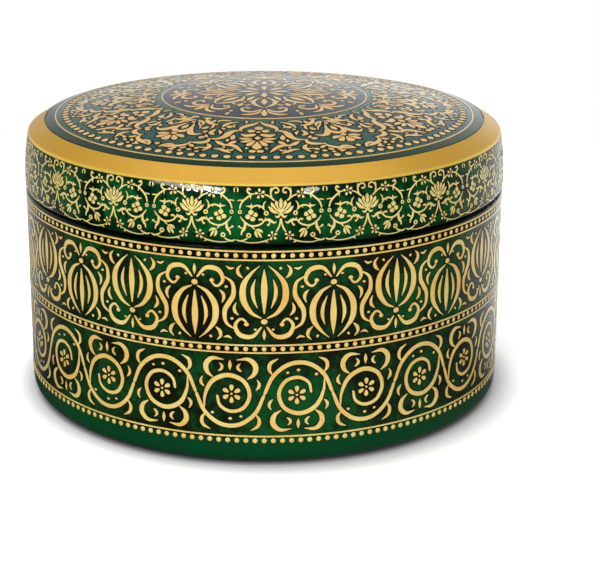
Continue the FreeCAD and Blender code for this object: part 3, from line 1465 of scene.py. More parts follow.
        # Lotus petals
        art.line((1.0, 1.6, 1.5, 0.2), (0.5, 12.9), (1.05, 13.8), (1.4, 14.7), (1.6, 15.8))
        art.line((1.0, 1.7, 1.5, 0.2), (1.1, 12.5), (2.0, 13.3), (2.7, 14.1), (3.2, 15.2))
        art.line((1.0, 1.7, 1.3, 0.2), (1.1, 11.7), (2.2, 12.2), (3.1, 12.8), (4.2, 13.9))
        art.slit((0.15, 0.4, 0.4, 0.15), (0.05, 12.9), (0.75, 13.9), (0.72, 14.8), (0.2, 15.6))
        art.slit((0.15, 0.4, 0.15), (0.75, 12.6), (1.75, 13.8), (2.15, 15.0))
        art.slit((0.15, 0.4, 0.15), (1.0, 12.0), (2.3, 12.9), (3.35, 14.1))
        art.slit((0.12, 0.36, 0.12), (0.25, 11.4), (0.7, 11.8), (1.3, 12.0))
        art.line((0.5, 0.9, 0.7, 0.15), (0.3, 10.8), (1.0, 10.3), (1.5, 10.3), (2.0, 10.8))
        # Crescents where the repeats meet
        art.line((0.2, 0.55, 0.3), (14.75, 20.0), (14.3, 19.3), (14.5, 18.4))
        return art

    def draw_axis(self) -> Drawing:
        """Draws what lies on the palmette's axis.

        Returns:
            The drawing.
        """
        art = self.drawing()
        art.line((1.2, 2.1, 1.7, 0.2), (0, 13.0), (0, 14.2), (0, 15.3), (0, 16.5))
        art.line((1.4, 2.4, 3.6, 4.2, 3.0), (0, 10.7), (0, 12.1), (0, 13.5))
        return art

    def unit(self, lay: Lay) -> Patch:
        """Lays one repeat of the scroll."""
        return Patch.joined([lay(self.draw_side()).doubled(), lay(self.draw_axis())])

    def build(self, workshop: Workshop) -> None:
        """Sets the scroll and its dark outlines on the skirt."""
        self.fire_units(workshop, {"skirt_scrolls": self.unit})


@dataclass(kw_only=True)
class DomeFlowers(BeadedOrnament):
    """Ring of flowers and leaves on the dome, drawn as half a repeat from the main flower outwards.

    Attributes:
        bead_circle: Radius of the row of beads outside the flowers.
    """

    gold: Finish = Finish.DOME_GILT
    repeats: int = 6
    degrees: float = -2.2
    step: float = 0.75
    outline: float = 0.72
    weight: float = 1.24
    bead_count: int = 112
    bead_circle: float = 75.0
    bead_radius: float = 1.3
    bead_relief: float = 0.16
    bead_sides: int = 14

    def draw_side(self) -> Drawing:
        """Draws what lies to one side of the main flower's axis.

        Returns:
            The drawing, with distances from the middle of the dome.
        """
        art = self.drawing()
        # Pointed arch over the flower and the chain of long leaves
        art.line((0.2, 1.0, 1.9, 1.8, 1.1, 0.2), (0.1, 41.9), (1.6, 44.5), (3.9, 46.3), (5.8, 48.3),
                 (6.4, 50.4), (5.7, 52.3))
        art.line((0.7, 1.5, 2.2, 2.2, 1.6, 1.0, 0.2), (6.6, 51.2), (8.5, 51.7), (10.1, 53.5),
                 (11.2, 56.3), (12.8, 58.2), (14.6, 58.9), (16.9, 58.4))
        art.line((0.2, 1.3, 1.7, 1.3, 0.3), (16.9, 58.0), (17.0, 60.1), (18.1, 61.5), (20.4, 61.8),
                 (23.2, 60.9))
        art.line((0.2, 1.2, 1.5, 1.2, 0.2), (23.2, 60.2), (23.6, 61.9), (25.6, 63.4), (28.9, 63.6),
                 (33.6, 63.0))
        # Petals of the main flower
        art.spot((2.5, 51.8), 2.3, 2.3)
        art.line((1.0, 2.1, 1.7, 0.2), (0.8, 55.1), (2.4, 55.9), (4.1, 56.3), (6.1, 54.9))
        art.line((0.5, 1.5, 1.3, 0.5), (1.9, 59.5), (4.0, 59.3), (6.4, 58.9))
        art.line((0.4, 1.6, 1.5, 0.5), (1.6, 60.5), (3.5, 61.5), (5.8, 62.0))
        art.line((0.3, 1.6, 1.9, 0.9), (0.9, 61.1), (2.0, 63.4), (3.5, 65.6))
        art.slit((0.2, 0.4, 0.35), (1.5, 59.8), (3.9, 60.4), (6.3, 60.5))
        art.slit((0.2, 0.4, 0.35), (1.3, 60.9), (3.0, 62.5), (4.9, 63.9))
        art.slit((0.2, 0.4, 0.35), (0.5, 61.6), (1.3, 64.4), (2.0, 66.4))
        art.spot((1.35, 70.2), 2.0, 1.8)
        # Buds beside it
        art.line((0.2, 1.3, 1.6, 0.6), (8.5, 55.4), (8.6, 57.6), (8.8, 59.9))
        art.line((0.4, 1.6, 1.4, 0.3), (7.3, 61.2), (8.5, 62.6), (9.9, 63.8))
        art.spot((10.4, 60.4), 1.8, 1.0, 80)
        art.spot((3.4, 67.6), 1.0, 0.9)
        # Hanging leaves over the beads
        art.line((0.3, 1.3, 1.6, 0.7), (14.6, 60.6), (13.4, 62.0), (12.6, 63.3), (11.2, 64.3))
        art.line((0.6, 1.3, 1.6, 1.4, 1.0, 0.2), (12.2, 64.9), (9.4, 64.6), (7.4, 66.1),
                 (6.0, 68.5),
                 (4.7, 71.1))
        art.line((0.3, 1.1, 1.3, 1.0, 0.3), (14.8, 67.7), (12.6, 68.0), (10.7, 69.8), (8.5, 71.6))
        art.line((0.3, 0.9, 0.8, 0.3), (7.7, 68.2), (8.7, 69.3), (9.9, 69.1), (10.0, 68.2))
        art.spot((11.3, 66.6), 1.1, 0.9, 60)
        art.line((0.2, 1.2, 1.5, 0.9, 0.2), (17.3, 62.9), (16.4, 64.5), (16.6, 66.6), (18.6, 69.2))
        art.line((0.7, 0.7, 0.2), (17.0, 66.5), (18.6, 66.4), (19.8, 65.8))
        # Fillers under the leaf chain
        art.line((0.4, 1.4, 1.2, 0.3), (23.0, 62.7), (22.6, 64.0), (21.7, 65.3))
        art.spot((20.6, 66.4), 1.5, 1.3)
        art.spot((25.4, 65.6), 1.9, 1.1, 15)
        art.spot((23.2, 67.3), 1.5, 1.2)
        art.spot((28.6, 65.3), 1.6, 1.0, 10)
        art.spot((20.4, 69.3), 1.3, 1.1)
        art.spot((26.4, 67.6), 1.2, 1.0)
        art.line((0.2, 0.9, 0.5), (30.6, 65.2), (29.4, 66.2), (28.6, 67.0))
        # Leaves inside the chain, towards the medallion
        art.line((0.2, 1.3, 1.6, 1.1, 0.4), (19.1, 37.3), (18.4, 40.9), (17.2, 43.4), (14.4, 45.0))
        art.line((0.9, 0.9, 0.3), (16.2, 44.9), (16.3, 47.0), (17.2, 48.7))
        art.line((0.3, 1.5, 0.9), (17.7, 46.6), (18.9, 47.7), (20.1, 48.5))
        art.line((0.6, 0.9, 0.9, 0.3), (14.7, 42.2), (14.4, 40.8), (12.6, 40.3), (9.9, 41.3))
        art.line((0.3, 0.9, 1.3, 1.0, 0.3), (7.3, 42.6), (9.8, 43.2), (11.8, 44.9), (13.0, 47.9))
        art.spot((10.4, 47.3), 1.9, 1.8)
        art.line((0.2, 0.8, 0.3), (5.1, 40.9), (4.4, 42.6), (5.0, 44.1))
        art.line((0.4, 0.7, 0.3), (8.2, 45.0), (9.0, 46.2), (8.6, 48.4))
        art.line((0.2, 0.6, 0.6, 0.3), (21.6, 40.2), (21.3, 43.5), (20.7, 46.0), (20.9, 48.6))
        art.line((0.3, 1.2, 1.4, 0.7), (14.9, 49.6), (16.1, 51.3), (16.6, 53.4), (15.2, 54.8))
        art.line((0.4, 1.0, 0.3), (14.0, 50.6), (13.2, 52.6), (13.4, 54.6))
        art.spot((18.7, 51.6), 1.5, 1.2, 40)
        art.spot((19.6, 57.0), 1.9, 1.7)
        art.spot((12.4, 49.2), 1.2, 1.0)
        art.line((0.3, 1.1, 0.3), (18.2, 54.6), (18.0, 56.0), (17.4, 57.2))
        return art

    def draw_lotus_side(self) -> Drawing:
        """Draws one side of the lotus that stands between two main flowers.

        Returns:
            The drawing about the lotus's own axis.
        """
        art = self.drawing()
        art.line((1.9, 1.7, 1.3, 0.9, 0.2), (0.0, 57.3), (2.0, 56.2), (2.9, 53.6), (2.3, 50.9),
                 (1.2, 48.4))
        art.line((0.4, 1.7, 2.0, 1.2, 0.3), (3.9, 53.0), (4.4, 55.6), (5.9, 57.4), (7.9, 57.6),
                 (9.6, 55.9))
        art.line((0.5, 1.5, 1.7, 0.8), (1.3, 60.2), (3.4, 60.5), (5.6, 61.4))
        art.line((0.4, 1.7, 2.0, 1.0), (1.0, 61.0), (2.6, 62.7), (4.0, 64.6))
        art.slit((0.2, 0.4, 0.35), (1.2, 60.7), (2.9, 61.6), (4.9, 63.0))
        art.slit((0.2, 0.4, 0.35), (0.5, 61.2), (1.4, 63.2), (2.0, 65.4))
        art.line((0.2, 0.9, 1.1, 0.3), (4.9, 49.2), (4.2, 47.0), (2.4, 45.4), (0.2, 44.9))
        art.line((0.3, 1.2, 0.3), (5.4, 46.0), (6.4, 44.2), (6.3, 42.0))
        art.line((0.3, 1.0, 0.4), (1.0, 42.3), (2.6, 41.3), (4.2, 41.8))
        art.line((0.2, 1.0, 1.2, 0.2), (2.0, 71.8), (3.1, 69.6), (5.0, 68.4), (7.4, 68.9))
        return art

    def draw_flower_axis(self) -> Drawing:
        """Draws what lies on the main flower's axis.

        Returns:
            The drawing.
        """
        art = self.drawing()
        art.line((0.3, 2.3, 2.8, 2.2, 0.5), (0, 47.4), (0, 48.4), (0, 49.4), (0, 50.8))
        art.spot((0, 52.9), 1.3, 1.1)
        art.line((0.2, 1.9, 0.2), (0, 57.1), (0, 58.6), (0, 60.1))
        art.line((0.2, 0.9, 1.9, 2.9, 2.4, 0.2), (0, 61.9), (0, 63.6), (0, 65.3), (0, 67.0),
                 (0, 68.7))
        return art

    def draw_lotus_axis(self) -> Drawing:
        """Draws what lies on the lotus's axis.

        Returns:
            The drawing.
        """
        art = self.drawing()
        art.line((0.3, 1.5, 1.6, 0.4), (0, 50.2), (0, 52.0), (0, 54.6))
        art.spot((0, 59.2), 1.9, 1.7)
        art.line((0.3, 1.6, 2.9, 2.4), (0, 61.2), (0, 63.2), (0, 65.9))
        art.spot((0, 69.4), 1.5, 1.7)
        art.spot((0, 47.1), 1.2, 1.4)
        return art

    def unit(self, lay: Lay) -> Patch:
        """Lays one repeat, a main flower and the lotus beside it.

        Args:
            lay: How a drawing is laid.

        Returns:
            The repeat about the main flower's axis.
        """
        flower = [lay(self.draw_side()).doubled(), lay(self.draw_flower_axis())]
        lotus = [lay(self.draw_lotus_side()).doubled(), lay(self.draw_lotus_axis())]
        return Patch.joined([*flower, Patch.joined(lotus).turned(180 / self.repeats)])

    def build(self, workshop: Workshop) -> None:
        """Sets the flowers, the beads and their dark outlines on the dome.

        Args:
            workshop: Workshop with the finishes.
        """
        self.fire_units(workshop, {"dome_flowers": self.unit})
        place = (0.0, self.bead_circle)
        one = bead(place, self.bead_radius, self.bead_relief, self.bead_sides)
        seat = bead(place, self.bead_radius + self.outline, KEYLINE.relief, self.bead_sides)
        self.fire_beads(workshop, "dome_beads", self.gold, one)
        self.fire_beads(workshop, "dome_bead_seats", Finish.DARK_ENAMEL, seat)


@dataclass(kw_only=True)
class Medallion(Ornament):
    """Round arabesque on the crown of the lid, drawn as half of one of its mirrored sectors."""

    gold: Finish = Finish.DOME_GILT
    repeats: int = 8
    step: float = 0.7
    outline: float = 0.35

    def draw_side(self) -> Drawing:
        """Draws what lies to one side of a sector's axis.

        Returns:
            The drawing, with distances from the middle of the dome.
        """
        art = self.drawing()
        art.line((0.4, 1.3, 1.8, 1.5, 0.3), (0.7, 11.2), (3.2, 14.3), (4.0, 18.6), (2.6, 22.6),
                 (0.2, 25.6))
        art.line((0.6, 1.3, 1.6, 1.2, 0.8), (0.7, 27.4), (3.8, 30.6), (7.4, 29.6), (8.0, 26.2),
                 (5.9, 24.8))
        art.spot((5.7, 26.0), 1.7, 1.6)
        art.line((0.3, 1.4, 1.6, 0.3), (1.2, 29.5), (2.2, 32.0), (5.0, 33.8), (8.6, 33.6))
        art.line((0.3, 1.1, 0.3), (4.6, 20.6), (6.2, 21.9), (7.6, 21.6))
        art.spot((5.1, 16.6), 1.4, 1.2, 60)
        return art

    def draw_axis(self) -> Drawing:
        """Draws what lies on a sector's axis.

        Returns:
            The drawing.
        """
        art = self.drawing()
        art.line((0.4, 1.8, 2.5, 0.3), (0, 2.4), (0, 5.0), (0, 7.2), (0, 10.0))
        art.line((0.4, 1.9, 2.6, 1.4, 0.2), (0, 13.4), (0, 16.2), (0, 18.4), (0, 21.8))
        art.line((0.4, 1.9, 2.3, 0.2), (0, 28.4), (0, 31.0), (0, 33.2), (0, 36.2))
        return art

    def draw_joint(self) -> Drawing:
        """Draws what lies between two sectors.

        Returns:
            The drawing about its own axis.
        """
        art = self.drawing()
        art.line((0.3, 1.5, 1.9, 0.3), (0, 9.4), (0, 11.6), (0, 13.4), (0, 16.4))
        art.spot((0, 18.6), 1.2, 1.6)
        art.line((0.3, 1.6, 2.1, 0.3), (0, 20.6), (0, 22.0), (0, 23.4), (0, 24.8))
        art.spot((0, 31.4), 1.5, 1.9)
        art.line((0.3, 1.8, 0.3), (0, 33.2), (0, 34.8), (0, 36.4))
        return art

    def unit(self, lay: Lay) -> Patch:
        """Lays one sector and what lies between it and the next."""
        joint = lay(self.draw_joint()).turned(180 / self.repeats)
        return Patch.joined([lay(self.draw_side()).doubled(), lay(self.draw_axis()), joint])

    def build(self, workshop: Workshop) -> None:
        """Sets the arabesque and its dark outlines on the crown."""
        self.fire_units(workshop, {"medallion": self.unit})


@dataclass(kw_only=True)
class WallBands(BeadedOrnament):
    """Two broad arabesque bands and three rows of beads round the body.

    Attributes:
        upper_middle: Height of the middle of the upper band.
        lower_middle: Height of the middle of the lower band.
        bead_heights: Height of each row of beads, from the top.
    """

    surface: WallSurface
    upper_middle: float
    lower_middle: float
    bead_heights: tuple[float, ...]
    body: BodyName = BodyName.BOX
    gold: Finish = Finish.ORNAMENT_GILT
    repeats: int = 12
    step: float = 0.9
    outline: float = 0.35
    weight: float = 0.86
    bead_count: int = 180
    bead_radius: float = 0.92
    bead_relief: float = 0.2
    bead_sides: int = 12

    @property
    def half_repeat(self) -> float:
        """Returns half the length of a repeat."""
        return math.pi * self.surface.radius / self.repeats

    def draw_palmette_side(self) -> Drawing:
        """Draws one side of a standing palmette, about the middle of the band.

        Returns:
            The drawing.
        """
        art = self.drawing()
        art.line((0.5, 1.8, 2.7, 2.5, 1.4, 0.2), (0.9, -5.4), (4.4, -3.4), (7.0, 1.0), (6.9, 6.4),
                 (4.2, 10.6), (1.4, 13.2))
        art.line((0.3, 1.4, 1.5, 0.3), (2.3, -1.8), (3.6, 1.6), (3.9, 5.0), (3.0, 8.4))
        art.line((0.7, 1.5, 2.1, 1.8, 1.2, 0.9), (0.8, -8.4), (4.0, -11.9), (8.2, -11.4),
                 (9.8, -8.0),
                 (7.8, -5.6), (5.9, -6.9))
        art.spot((6.0, -7.6), 1.9, 1.8)
        art.line((0.3, 1.5, 1.2, 0.2), (7.2, 8.8), (8.6, 10.2), (8.9, 12.0), (7.6, 13.5))
        art.line((0.3, 1.4, 1.2, 0.2), (8.6, -4.4), (9.8, -3.2), (10.1, -1.6), (9.4, 0.2))
        art.spot((10.9, -5.6), 1.3, 1.1)
        art.spot((3.0, -9.4), 1.1, 1.0)
        art.spot((5.5, 12.3), 1.3, 1.1, 40)
        art.line((0.2, 1.1, 0.2), (10.9, -12.9), (12.2, -12.0), (13.8, -12.4))
        return art

    def draw_palmette_axis(self) -> Drawing:
        """Draws what lies on a standing palmette's axis.

        Returns:
            The drawing.
        """
        art = self.drawing()
        art.line((0.5, 1.9, 2.8, 2.2, 0.2), (0, -3.8), (0, 0.2), (0, 4.4), (0, 8.2), (0, 12.0))
        art.spot((0, -6.6), 2.6, 2.4)
        art.line((0.2, 1.5, 0.2), (0, -9.4), (0, -11.2), (0, -13.2))
        return art

    def draw_link(self) -> Drawing:
        """Draws the stem that links a standing and a hanging palmette.

        Returns:
            The drawing, alike after half a turn about the middle of the half repeat.
        """
        art = self.drawing()
        middle = self.half_repeat / 2
        rising = ((-2.4, -9.6), (1.0, -7.2), (1.5, -3.0), (0.0, 0.0))
        falling = tuple((-across, -up) for across, up in rising[-2::-1])
        stem = [(middle + across, up) for across, up in rising + falling]
        art.line((0.3, 1.3, 1.9, 2.1, 1.9, 1.3, 0.3), *stem)
        return art

    def draw_scroll(self) -> Drawing:
        """Draws one coil of the lower band's running scroll, about the middle of the band.

        Returns:
            The drawing.
        """
        art = self.drawing()
        end = self.half_repeat
        art.line((1.4, 1.8, 1.9, 1.8, 1.4), (0, 0), (2.8, 6.4), (7.2, 10.4), (end / 2, 11.6),
                 (end - 7.2, 10.4), (end - 2.8, 6.4), (end, 0))
        art.line((0.5, 1.5, 2.0, 2.0, 1.8, 1.7, 1.6, 1.4, 1.1), (20.8, 5.6), (20.4, 0.6),
                 (17.8, -4.6),
                 (12.4, -7.0), (7.0, -4.9), (5.0, 0.2), (7.2, 4.9), (11.6, 6.2), (15.2, 4.2),
                 (16.2, 0.4))
        art.rosette((11.2, -0.2), petals=6, reach=3.4, width=1.9, degrees=90)
        art.line((0.4, 2.0, 2.3, 1.5, 0.2), (5.8, -5.6), (3.4, -7.6), (3.0, -10.6), (5.4, -12.9),
                 (9.4, -12.6))
        art.line((0.4, 2.0, 2.3, 1.5, 0.2), (17.6, -6.0), (19.6, -7.8), (20.0, -10.6),
                 (17.8, -12.9),
                 (13.8, -12.6))
        art.line((0.3, 1.6, 1.4, 0.2), (2.9, 7.2), (1.7, 9.2), (2.2, 11.6), (4.8, 13.2))
        art.line((0.3, 1.6, 1.4, 0.2), (20.4, 7.4), (21.7, 9.4), (21.2, 11.8), (18.6, 13.2))
        art.line((0.2, 1.6, 0.2), (11.7, -8.9), (11.7, -10.6), (11.7, -12.6))
        art.line((0.3, 1.3, 1.1, 0.2), (7.7, -8.4), (8.8, -9.2), (9.0, -10.4), (8.0, -11.3))
        art.line((0.3, 1.3, 1.1, 0.2), (15.7, -8.4), (14.6, -9.2), (14.4, -10.4), (15.4, -11.3))
        art.spot((17.9, 7.0), 1.4, 1.2)
        art.spot((11.7, 8.9), 1.5, 1.2)
        art.spot((8.0, 8.0), 1.2, 1.1)
        art.line((0.3, 1.4, 1.1, 0.2), (2.9, -1.6), (1.9, -2.8), (1.7, -4.2), (2.5, -5.6))
        art.line((0.3, 1.4, 1.1, 0.2), (20.7, -2.4), (21.7, -3.4), (21.9, -4.8), (21.1, -6.2))
        return art

    def upper_unit(self, lay: Lay) -> Patch:
        """Lays a repeat of the upper band, a standing and a hanging palmette.

        Args:
            lay: How a drawing is laid.

        Returns:
            The repeat at the height of the band.
        """
        middle = (self.half_repeat / 2, 0.0)
        side = lay(self.draw_palmette_side())
        axis = lay(self.draw_palmette_axis())
        halves = Patch.joined([side, side.half_turned(middle), lay(self.draw_link())])
        whole = Patch.joined([halves.doubled(), axis, axis.half_turned(middle)])
        return whole.moved(0, self.upper_middle)

    def lower_unit(self, lay: Lay) -> Patch:
        """Lays a repeat of the lower band, one coil up and one coil down.

        Args:
            lay: How a drawing is laid.

        Returns:
            The repeat at the height of the band.
        """
        coil = lay(self.draw_scroll())
        whole = Patch.joined([coil, coil.half_turned((self.half_repeat, 0.0))])
        return whole.moved(0, self.lower_middle)

    def build(self, workshop: Workshop) -> None:
        """Sets the bands, their dark outlines and the beads on the wall.

        Args:
            workshop: Workshop with the finishes.
        """
        self.fire_units(workshop, {"upper_band": self.upper_unit, "lower_band": self.lower_unit})
        for row, height in zip(("upper", "middle", "foot"), self.bead_heights):
            one = bead((0.0, height), self.bead_radius, self.bead_relief, self.bead_sides)
            self.fire_beads(workshop, f"{row}_beads", self.gold, one)


# Studio

# Black that the floor's paper turns to in its painted contact shadow
FLOOR_SHADOW_BLACK = (0.0, 0.0, 0.0)
WHITE_LIGHT = (1.0, 1.0, 1.0)
LAMP_AIM = (0.0, 0.0, 0.1)


@dataclass(frozen=True)
class Softbox:
    """Flat oval lamp that faces a point of the box.

    Attributes:
        name: Name of the lamp.
        place: Place of its middle in metres.
        target: Point that it faces.
        width: Width in metres.
        height: Height in metres.
        power: Power in watts.
        mirrored: Whether glossy surfaces show it.
    """

    name: str
    place: Place
    target: Place
    width: float
    height: float
    power: float
    mirrored: bool

    def build(self) -> bpy.types.Object:
        """Adds the lamp to the scene.

        Returns:
            The lamp.
        """
        lamp = bpy.data.lights.new(self.name, "AREA")
        lamp.shape = "ELLIPSE"
        lamp.size = self.width
        lamp.size_y = self.height
        lamp.energy = self.power
        item = bpy.data.objects.new(self.name, lamp)
        item.location = self.place
        facing = Vector(self.target) - Vector(self.place)
        item.rotation_euler = facing.to_track_quat("-Z", "Y").to_euler()
        item.visible_glossy = self.mirrored
        item.visible_camera = False
        bpy.context.scene.collection.objects.link(item)
        return item


@dataclass
class Studio:
    """White floor, soft light and camera.

    Attributes:
        floor_size: Length of the floor's side in metres.
        floor_drop: How far the floor lies under the box's foot in metres.
        floor_white: Distances in metres over which the seen floor turns plain white.
        ambient: Level of the surrounding light.
        paper: Lightness of the floor as it lights the box.
        shown_paper: Lightness of the floor as the camera sees it.
        contact_reach: How far the box's contact shadow reaches in metres.
        contact_samples: Samples that make up the contact shadow.
        mirrored_low: Level of the backdrop that the gloss shows near the horizon.
        mirrored_high: Level that the gloss shows higher up.
        mirrored_front: Share of that level on the camera's side.
        mirrored_sides: Share of that level far to the left and far to the right.
        mirrored_far: Share of that level on the floor farther off.
        mirrored_tint: Colour of the backdrop in the gloss.
        floor_turn: Headings, front to back, over which the mirrored floor goes from dark to white.
        floor_sides: Headings, left to right, over which its sides' shares change.
        floor_fade: Distances in metres over which it fades to its far share.
        sky_rise: Headings, low to high, over which the mirrored backdrop changes level.
        sky_turn: Headings, front to back, over which it goes from dark to white.
        sky_sides: Headings, left to right, over which its sides' shares change.
        camera_place: Place of the camera in metres.
        camera_pitch: How far the camera looks down, in degrees.
        focal_pixels: Focal length in pixels of the picture.
        picture: Width and height of the picture in pixels.
        sight_point: Pixel that lies straight ahead of the camera.
        sensor: Width of the camera's sensor in millimetres.
        softboxes: Lamps round the box.
    """

    floor_size: float = 8.0
    floor_drop: float = 0.0003
    floor_white: Span = (0.2, 0.45)
    ambient: float = 0.48
    paper: float = 0.3
    shown_paper: float = 1.52
    contact_reach: float = 0.012
    contact_samples: int = 16
    mirrored_low: float = 1.16
    mirrored_high: float = 0.25
    mirrored_front: float = 0.07
    mirrored_sides: Span = (0.58, 1.2)
    mirrored_far: float = 0.7
    mirrored_tint: Colour = (0.93, 0.97, 0.96)
    floor_turn: Span = (-0.15, 0.75)
    floor_sides: Span = (-0.5, 0.5)
    floor_fade: Span = (0.25, 0.8)
    sky_rise: Span = (-0.05, 0.62)
    sky_turn: Span = (-0.1, 0.9)
    sky_sides: Span = (-0.25, 0.3)
    camera_place: Place = (0.0, -0.6189, 0.2415)
    camera_pitch: float = 16.63
    focal_pixels: float = 1665.0
    picture: tuple[int, int] = (600, 561)
    sight_point: Point = (264.23, 233.3)
    sensor: float = 36.0

    softboxes: tuple[Softbox, ...] = (
        Softbox(
            "overhead",
            place=(0.0, 0.1, 1.3),
            target=LAMP_AIM,
            width=1.4,
            height=1.4,
            power=4.0,
            mirrored=True,
        ),
        Softbox(
            "left_key",
            place=(-0.6, 0.2, 1.1),
            target=LAMP_AIM,
            width=0.7,
            height=0.7,
            power=3.2,
            mirrored=False,
        ),
        Softbox(
            "front_fill",
            place=(-0.08, -1.6, 0.55),
            target=(0.0, 0.0, 0.06),
            width=1.4,
            height=1.1,
            power=21.5,
            mirrored=False,
        ),
        Softbox(
            "left_strip",
            place=(-0.42, -0.623, 0.124),
            target=LAMP_AIM,
            width=0.5,
            height=0.018,
            power=0.17,
            mirrored=True,
        ),
        Softbox(
            "left_window",
            place=(-0.34, -0.67, 0.126),
            target=LAMP_AIM,
            width=0.26,
            height=0.014,
            power=0.22,
            mirrored=True,
        ),
        Softbox(
            "right_window",
            place=(0.26, -0.71, 0.124),
            target=LAMP_AIM,
            width=0.09,
            height=0.015,
            power=0.05,
            mirrored=True,
        ),
    )

    def build_floor(self) -> bpy.types.Object:
        """Adds the floor, which shows white to the camera and keeps the shadow.

        Returns:
            The floor.
        """
        half = self.floor_size / 2
        corners = [(-half, -half), (half, -half), (half, half), (-half, half)]
        mesh = bpy.data.meshes.new("floor")
        mesh.from_pydata([(x, y, -self.floor_drop) for x, y in corners], [], [(0, 1, 2, 3)])
        floor = bpy.data.objects.new("floor", mesh)
        bpy.context.scene.collection.objects.link(floor)
        mesh.materials.append(self.floor_material())
        return floor

    def seen_floor(
        self,
        sheet: NodeSheet,
        seen: bpy.types.NodeSocket,
        distance: bpy.types.NodeSocket,
    ) -> bpy.types.NodeSocket:
        """Adds the floor's paper, with its lamp shadow near the box deepened by a painted contact
        shadow from ambient occlusion, and plain white farther off.

        Args:
            sheet: Sheet to add to.
            seen: Socket that tells what the camera sees straight.
            distance: Socket of the distance from the box's axis.

        Returns:
            The shader's socket.
        """
        # Painted contact shadow: ambient occlusion darkens the paper that the camera sees near the
        # box
        near = sheet.add("ShaderNodeAmbientOcclusion", samples=self.contact_samples)
        near.inputs["Distance"].default_value = self.contact_reach
        shown = sheet.mixed(Mixer.COLOURS, near.outputs["AO"], FLOOR_SHADOW_BLACK, (self.shown_paper,) * 3)
        paper = sheet.add("ShaderNodeBsdfDiffuse")
        tone = sheet.mixed(Mixer.COLOURS, seen, (self.paper,) * 3, shown)
        sheet.link(tone, paper.inputs["Color"])
        white = sheet.add("ShaderNodeEmission", Strength=1.0)
        far = sheet.ramp(distance, self.floor_white, soft=True)
        seen_far = sheet.combined("MULTIPLY", far, seen)
        return sheet.mixed(Mixer.SHADERS, seen_far, paper.outputs[0], white.outputs[0])

    def mirrored_floor(
        self,
        sheet: NodeSheet,
        place: bpy.types.NodeSocket,
        distance: bpy.types.NodeSocket,
    ) -> bpy.types.NodeSocket:
        """Adds the floor as the gloss shows it, dark in front of the box and white behind it.

        Args:
            sheet: Sheet to add to.
            place: Socket of the place on the floor.
            distance: Socket of the distance from the box's axis.

        Returns:
            The shader's socket.
        """
        heading = sheet.axes(sheet.vector("NORMALIZE", place).outputs["Vector"])
        front = self.mirrored_front * self.mirrored_low
        behind = sheet.ramp(heading["Y"], self.floor_turn, (front, self.mirrored_low))
        sides = sheet.ramp(heading["X"], self.floor_sides, self.mirrored_sides)
        fading = sheet.ramp(distance, self.floor_fade, (1.0, self.mirrored_far))
        graded = sheet.combined("MULTIPLY", behind, sides, fading)
        mirrored = sheet.add("ShaderNodeEmission", Color=(*self.mirrored_tint, 1))
        sheet.link(graded, mirrored.inputs["Strength"])
        return mirrored.outputs[0]

    def floor_material(self) -> bpy.types.Material:
        """Builds the floor's material.

        Returns:
            White paper that looks otherwise in the box's gloss.
        """
        material = bpy.data.materials.new("floor_paper")
        material.use_nodes = True
        sheet = NodeSheet(material.node_tree)
        path = sheet.add("ShaderNodeLightPath").outputs
        place = sheet.add("ShaderNodeTexCoord").outputs["Object"]
        distance = sheet.vector("LENGTH", place).outputs["Value"]
        direct = self.seen_floor(sheet, path["Is Camera Ray"], distance)
        mirrored = self.mirrored_floor(sheet, place, distance)
        output = sheet.add("ShaderNodeOutputMaterial")
        glossy = sheet.mixed(Mixer.SHADERS, path["Is Glossy Ray"], direct, mirrored)
        sheet.link(glossy, output.inputs["Surface"])
        return material

    def build_world(self) -> None:
        """Adds the surrounding light, white to the camera and graded in reflections."""
        world = bpy.data.worlds.new("studio")
        world.use_nodes = True
        bpy.context.scene.world = world
        sheet = NodeSheet(world.node_tree)
        path = sheet.add("ShaderNodeLightPath").outputs
        heading = sheet.axes(sheet.add("ShaderNodeTexCoord").outputs["Generated"])
        levels = (self.mirrored_low, self.mirrored_high)
        low = sheet.ramp(heading["Z"], self.sky_rise, levels, soft=True)
        behind = sheet.ramp(heading["Y"], self.sky_turn, (self.mirrored_front, 1.0), soft=True)
        sides = sheet.ramp(heading["X"], self.sky_sides, self.mirrored_sides)
        graded = sheet.combined("MULTIPLY", low, behind, sides)
        glossy = path["Is Glossy Ray"]
        soft = sheet.mixed(Mixer.NUMBERS, glossy, self.ambient, graded)
        background = sheet.add("ShaderNodeBackground")
        strength = sheet.mixed(Mixer.NUMBERS, path["Is Camera Ray"], soft, 1.0)
        sheet.link(strength, background.inputs["Strength"])
        colour = sheet.mixed(Mixer.COLOURS, glossy, WHITE_LIGHT, self.mirrored_tint)
        sheet.link(colour, background.inputs["Color"])
        output = sheet.add("ShaderNodeOutputWorld")
        sheet.link(background.outputs[0], output.inputs["Surface"])

    def build_camera(self) -> bpy.types.Object:
        """Adds the camera at the picture's viewing angle.

        Returns:
            The camera.
        """
        lens = bpy.data.cameras.new("picture_camera")
        lens.sensor_fit = "HORIZONTAL"
        lens.sensor_width = self.sensor
        width, height = self.picture
        lens.lens = self.sensor * self.focal_pixels / width
        lens.shift_x = (width / 2 - self.sight_point[0]) / width
        lens.shift_y = (self.sight_point[1] - height / 2) / width
        camera = bpy.data.objects.new("picture_camera", lens)
        camera.location = self.camera_place
        camera.rotation_euler = Euler((math.radians(90 - self.camera_pitch), 0, 0))
        bpy.context.scene.collection.objects.link(camera)
        bpy.context.scene.camera = camera
        return camera

    def build(self) -> None:
        """Sets up the whole studio."""
        self.build_floor()
        self.build_world()
        for softbox in self.softboxes:
            softbox.build()
        self.build_camera()
        bpy.context.scene.view_settings.view_transform = "Standard"


def node_middle(node: str) -> float:
    """Returns the height of the middle of a node's box in millimetres."""
    low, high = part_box(node)
    return (low.z + high.z) / 2 / MM


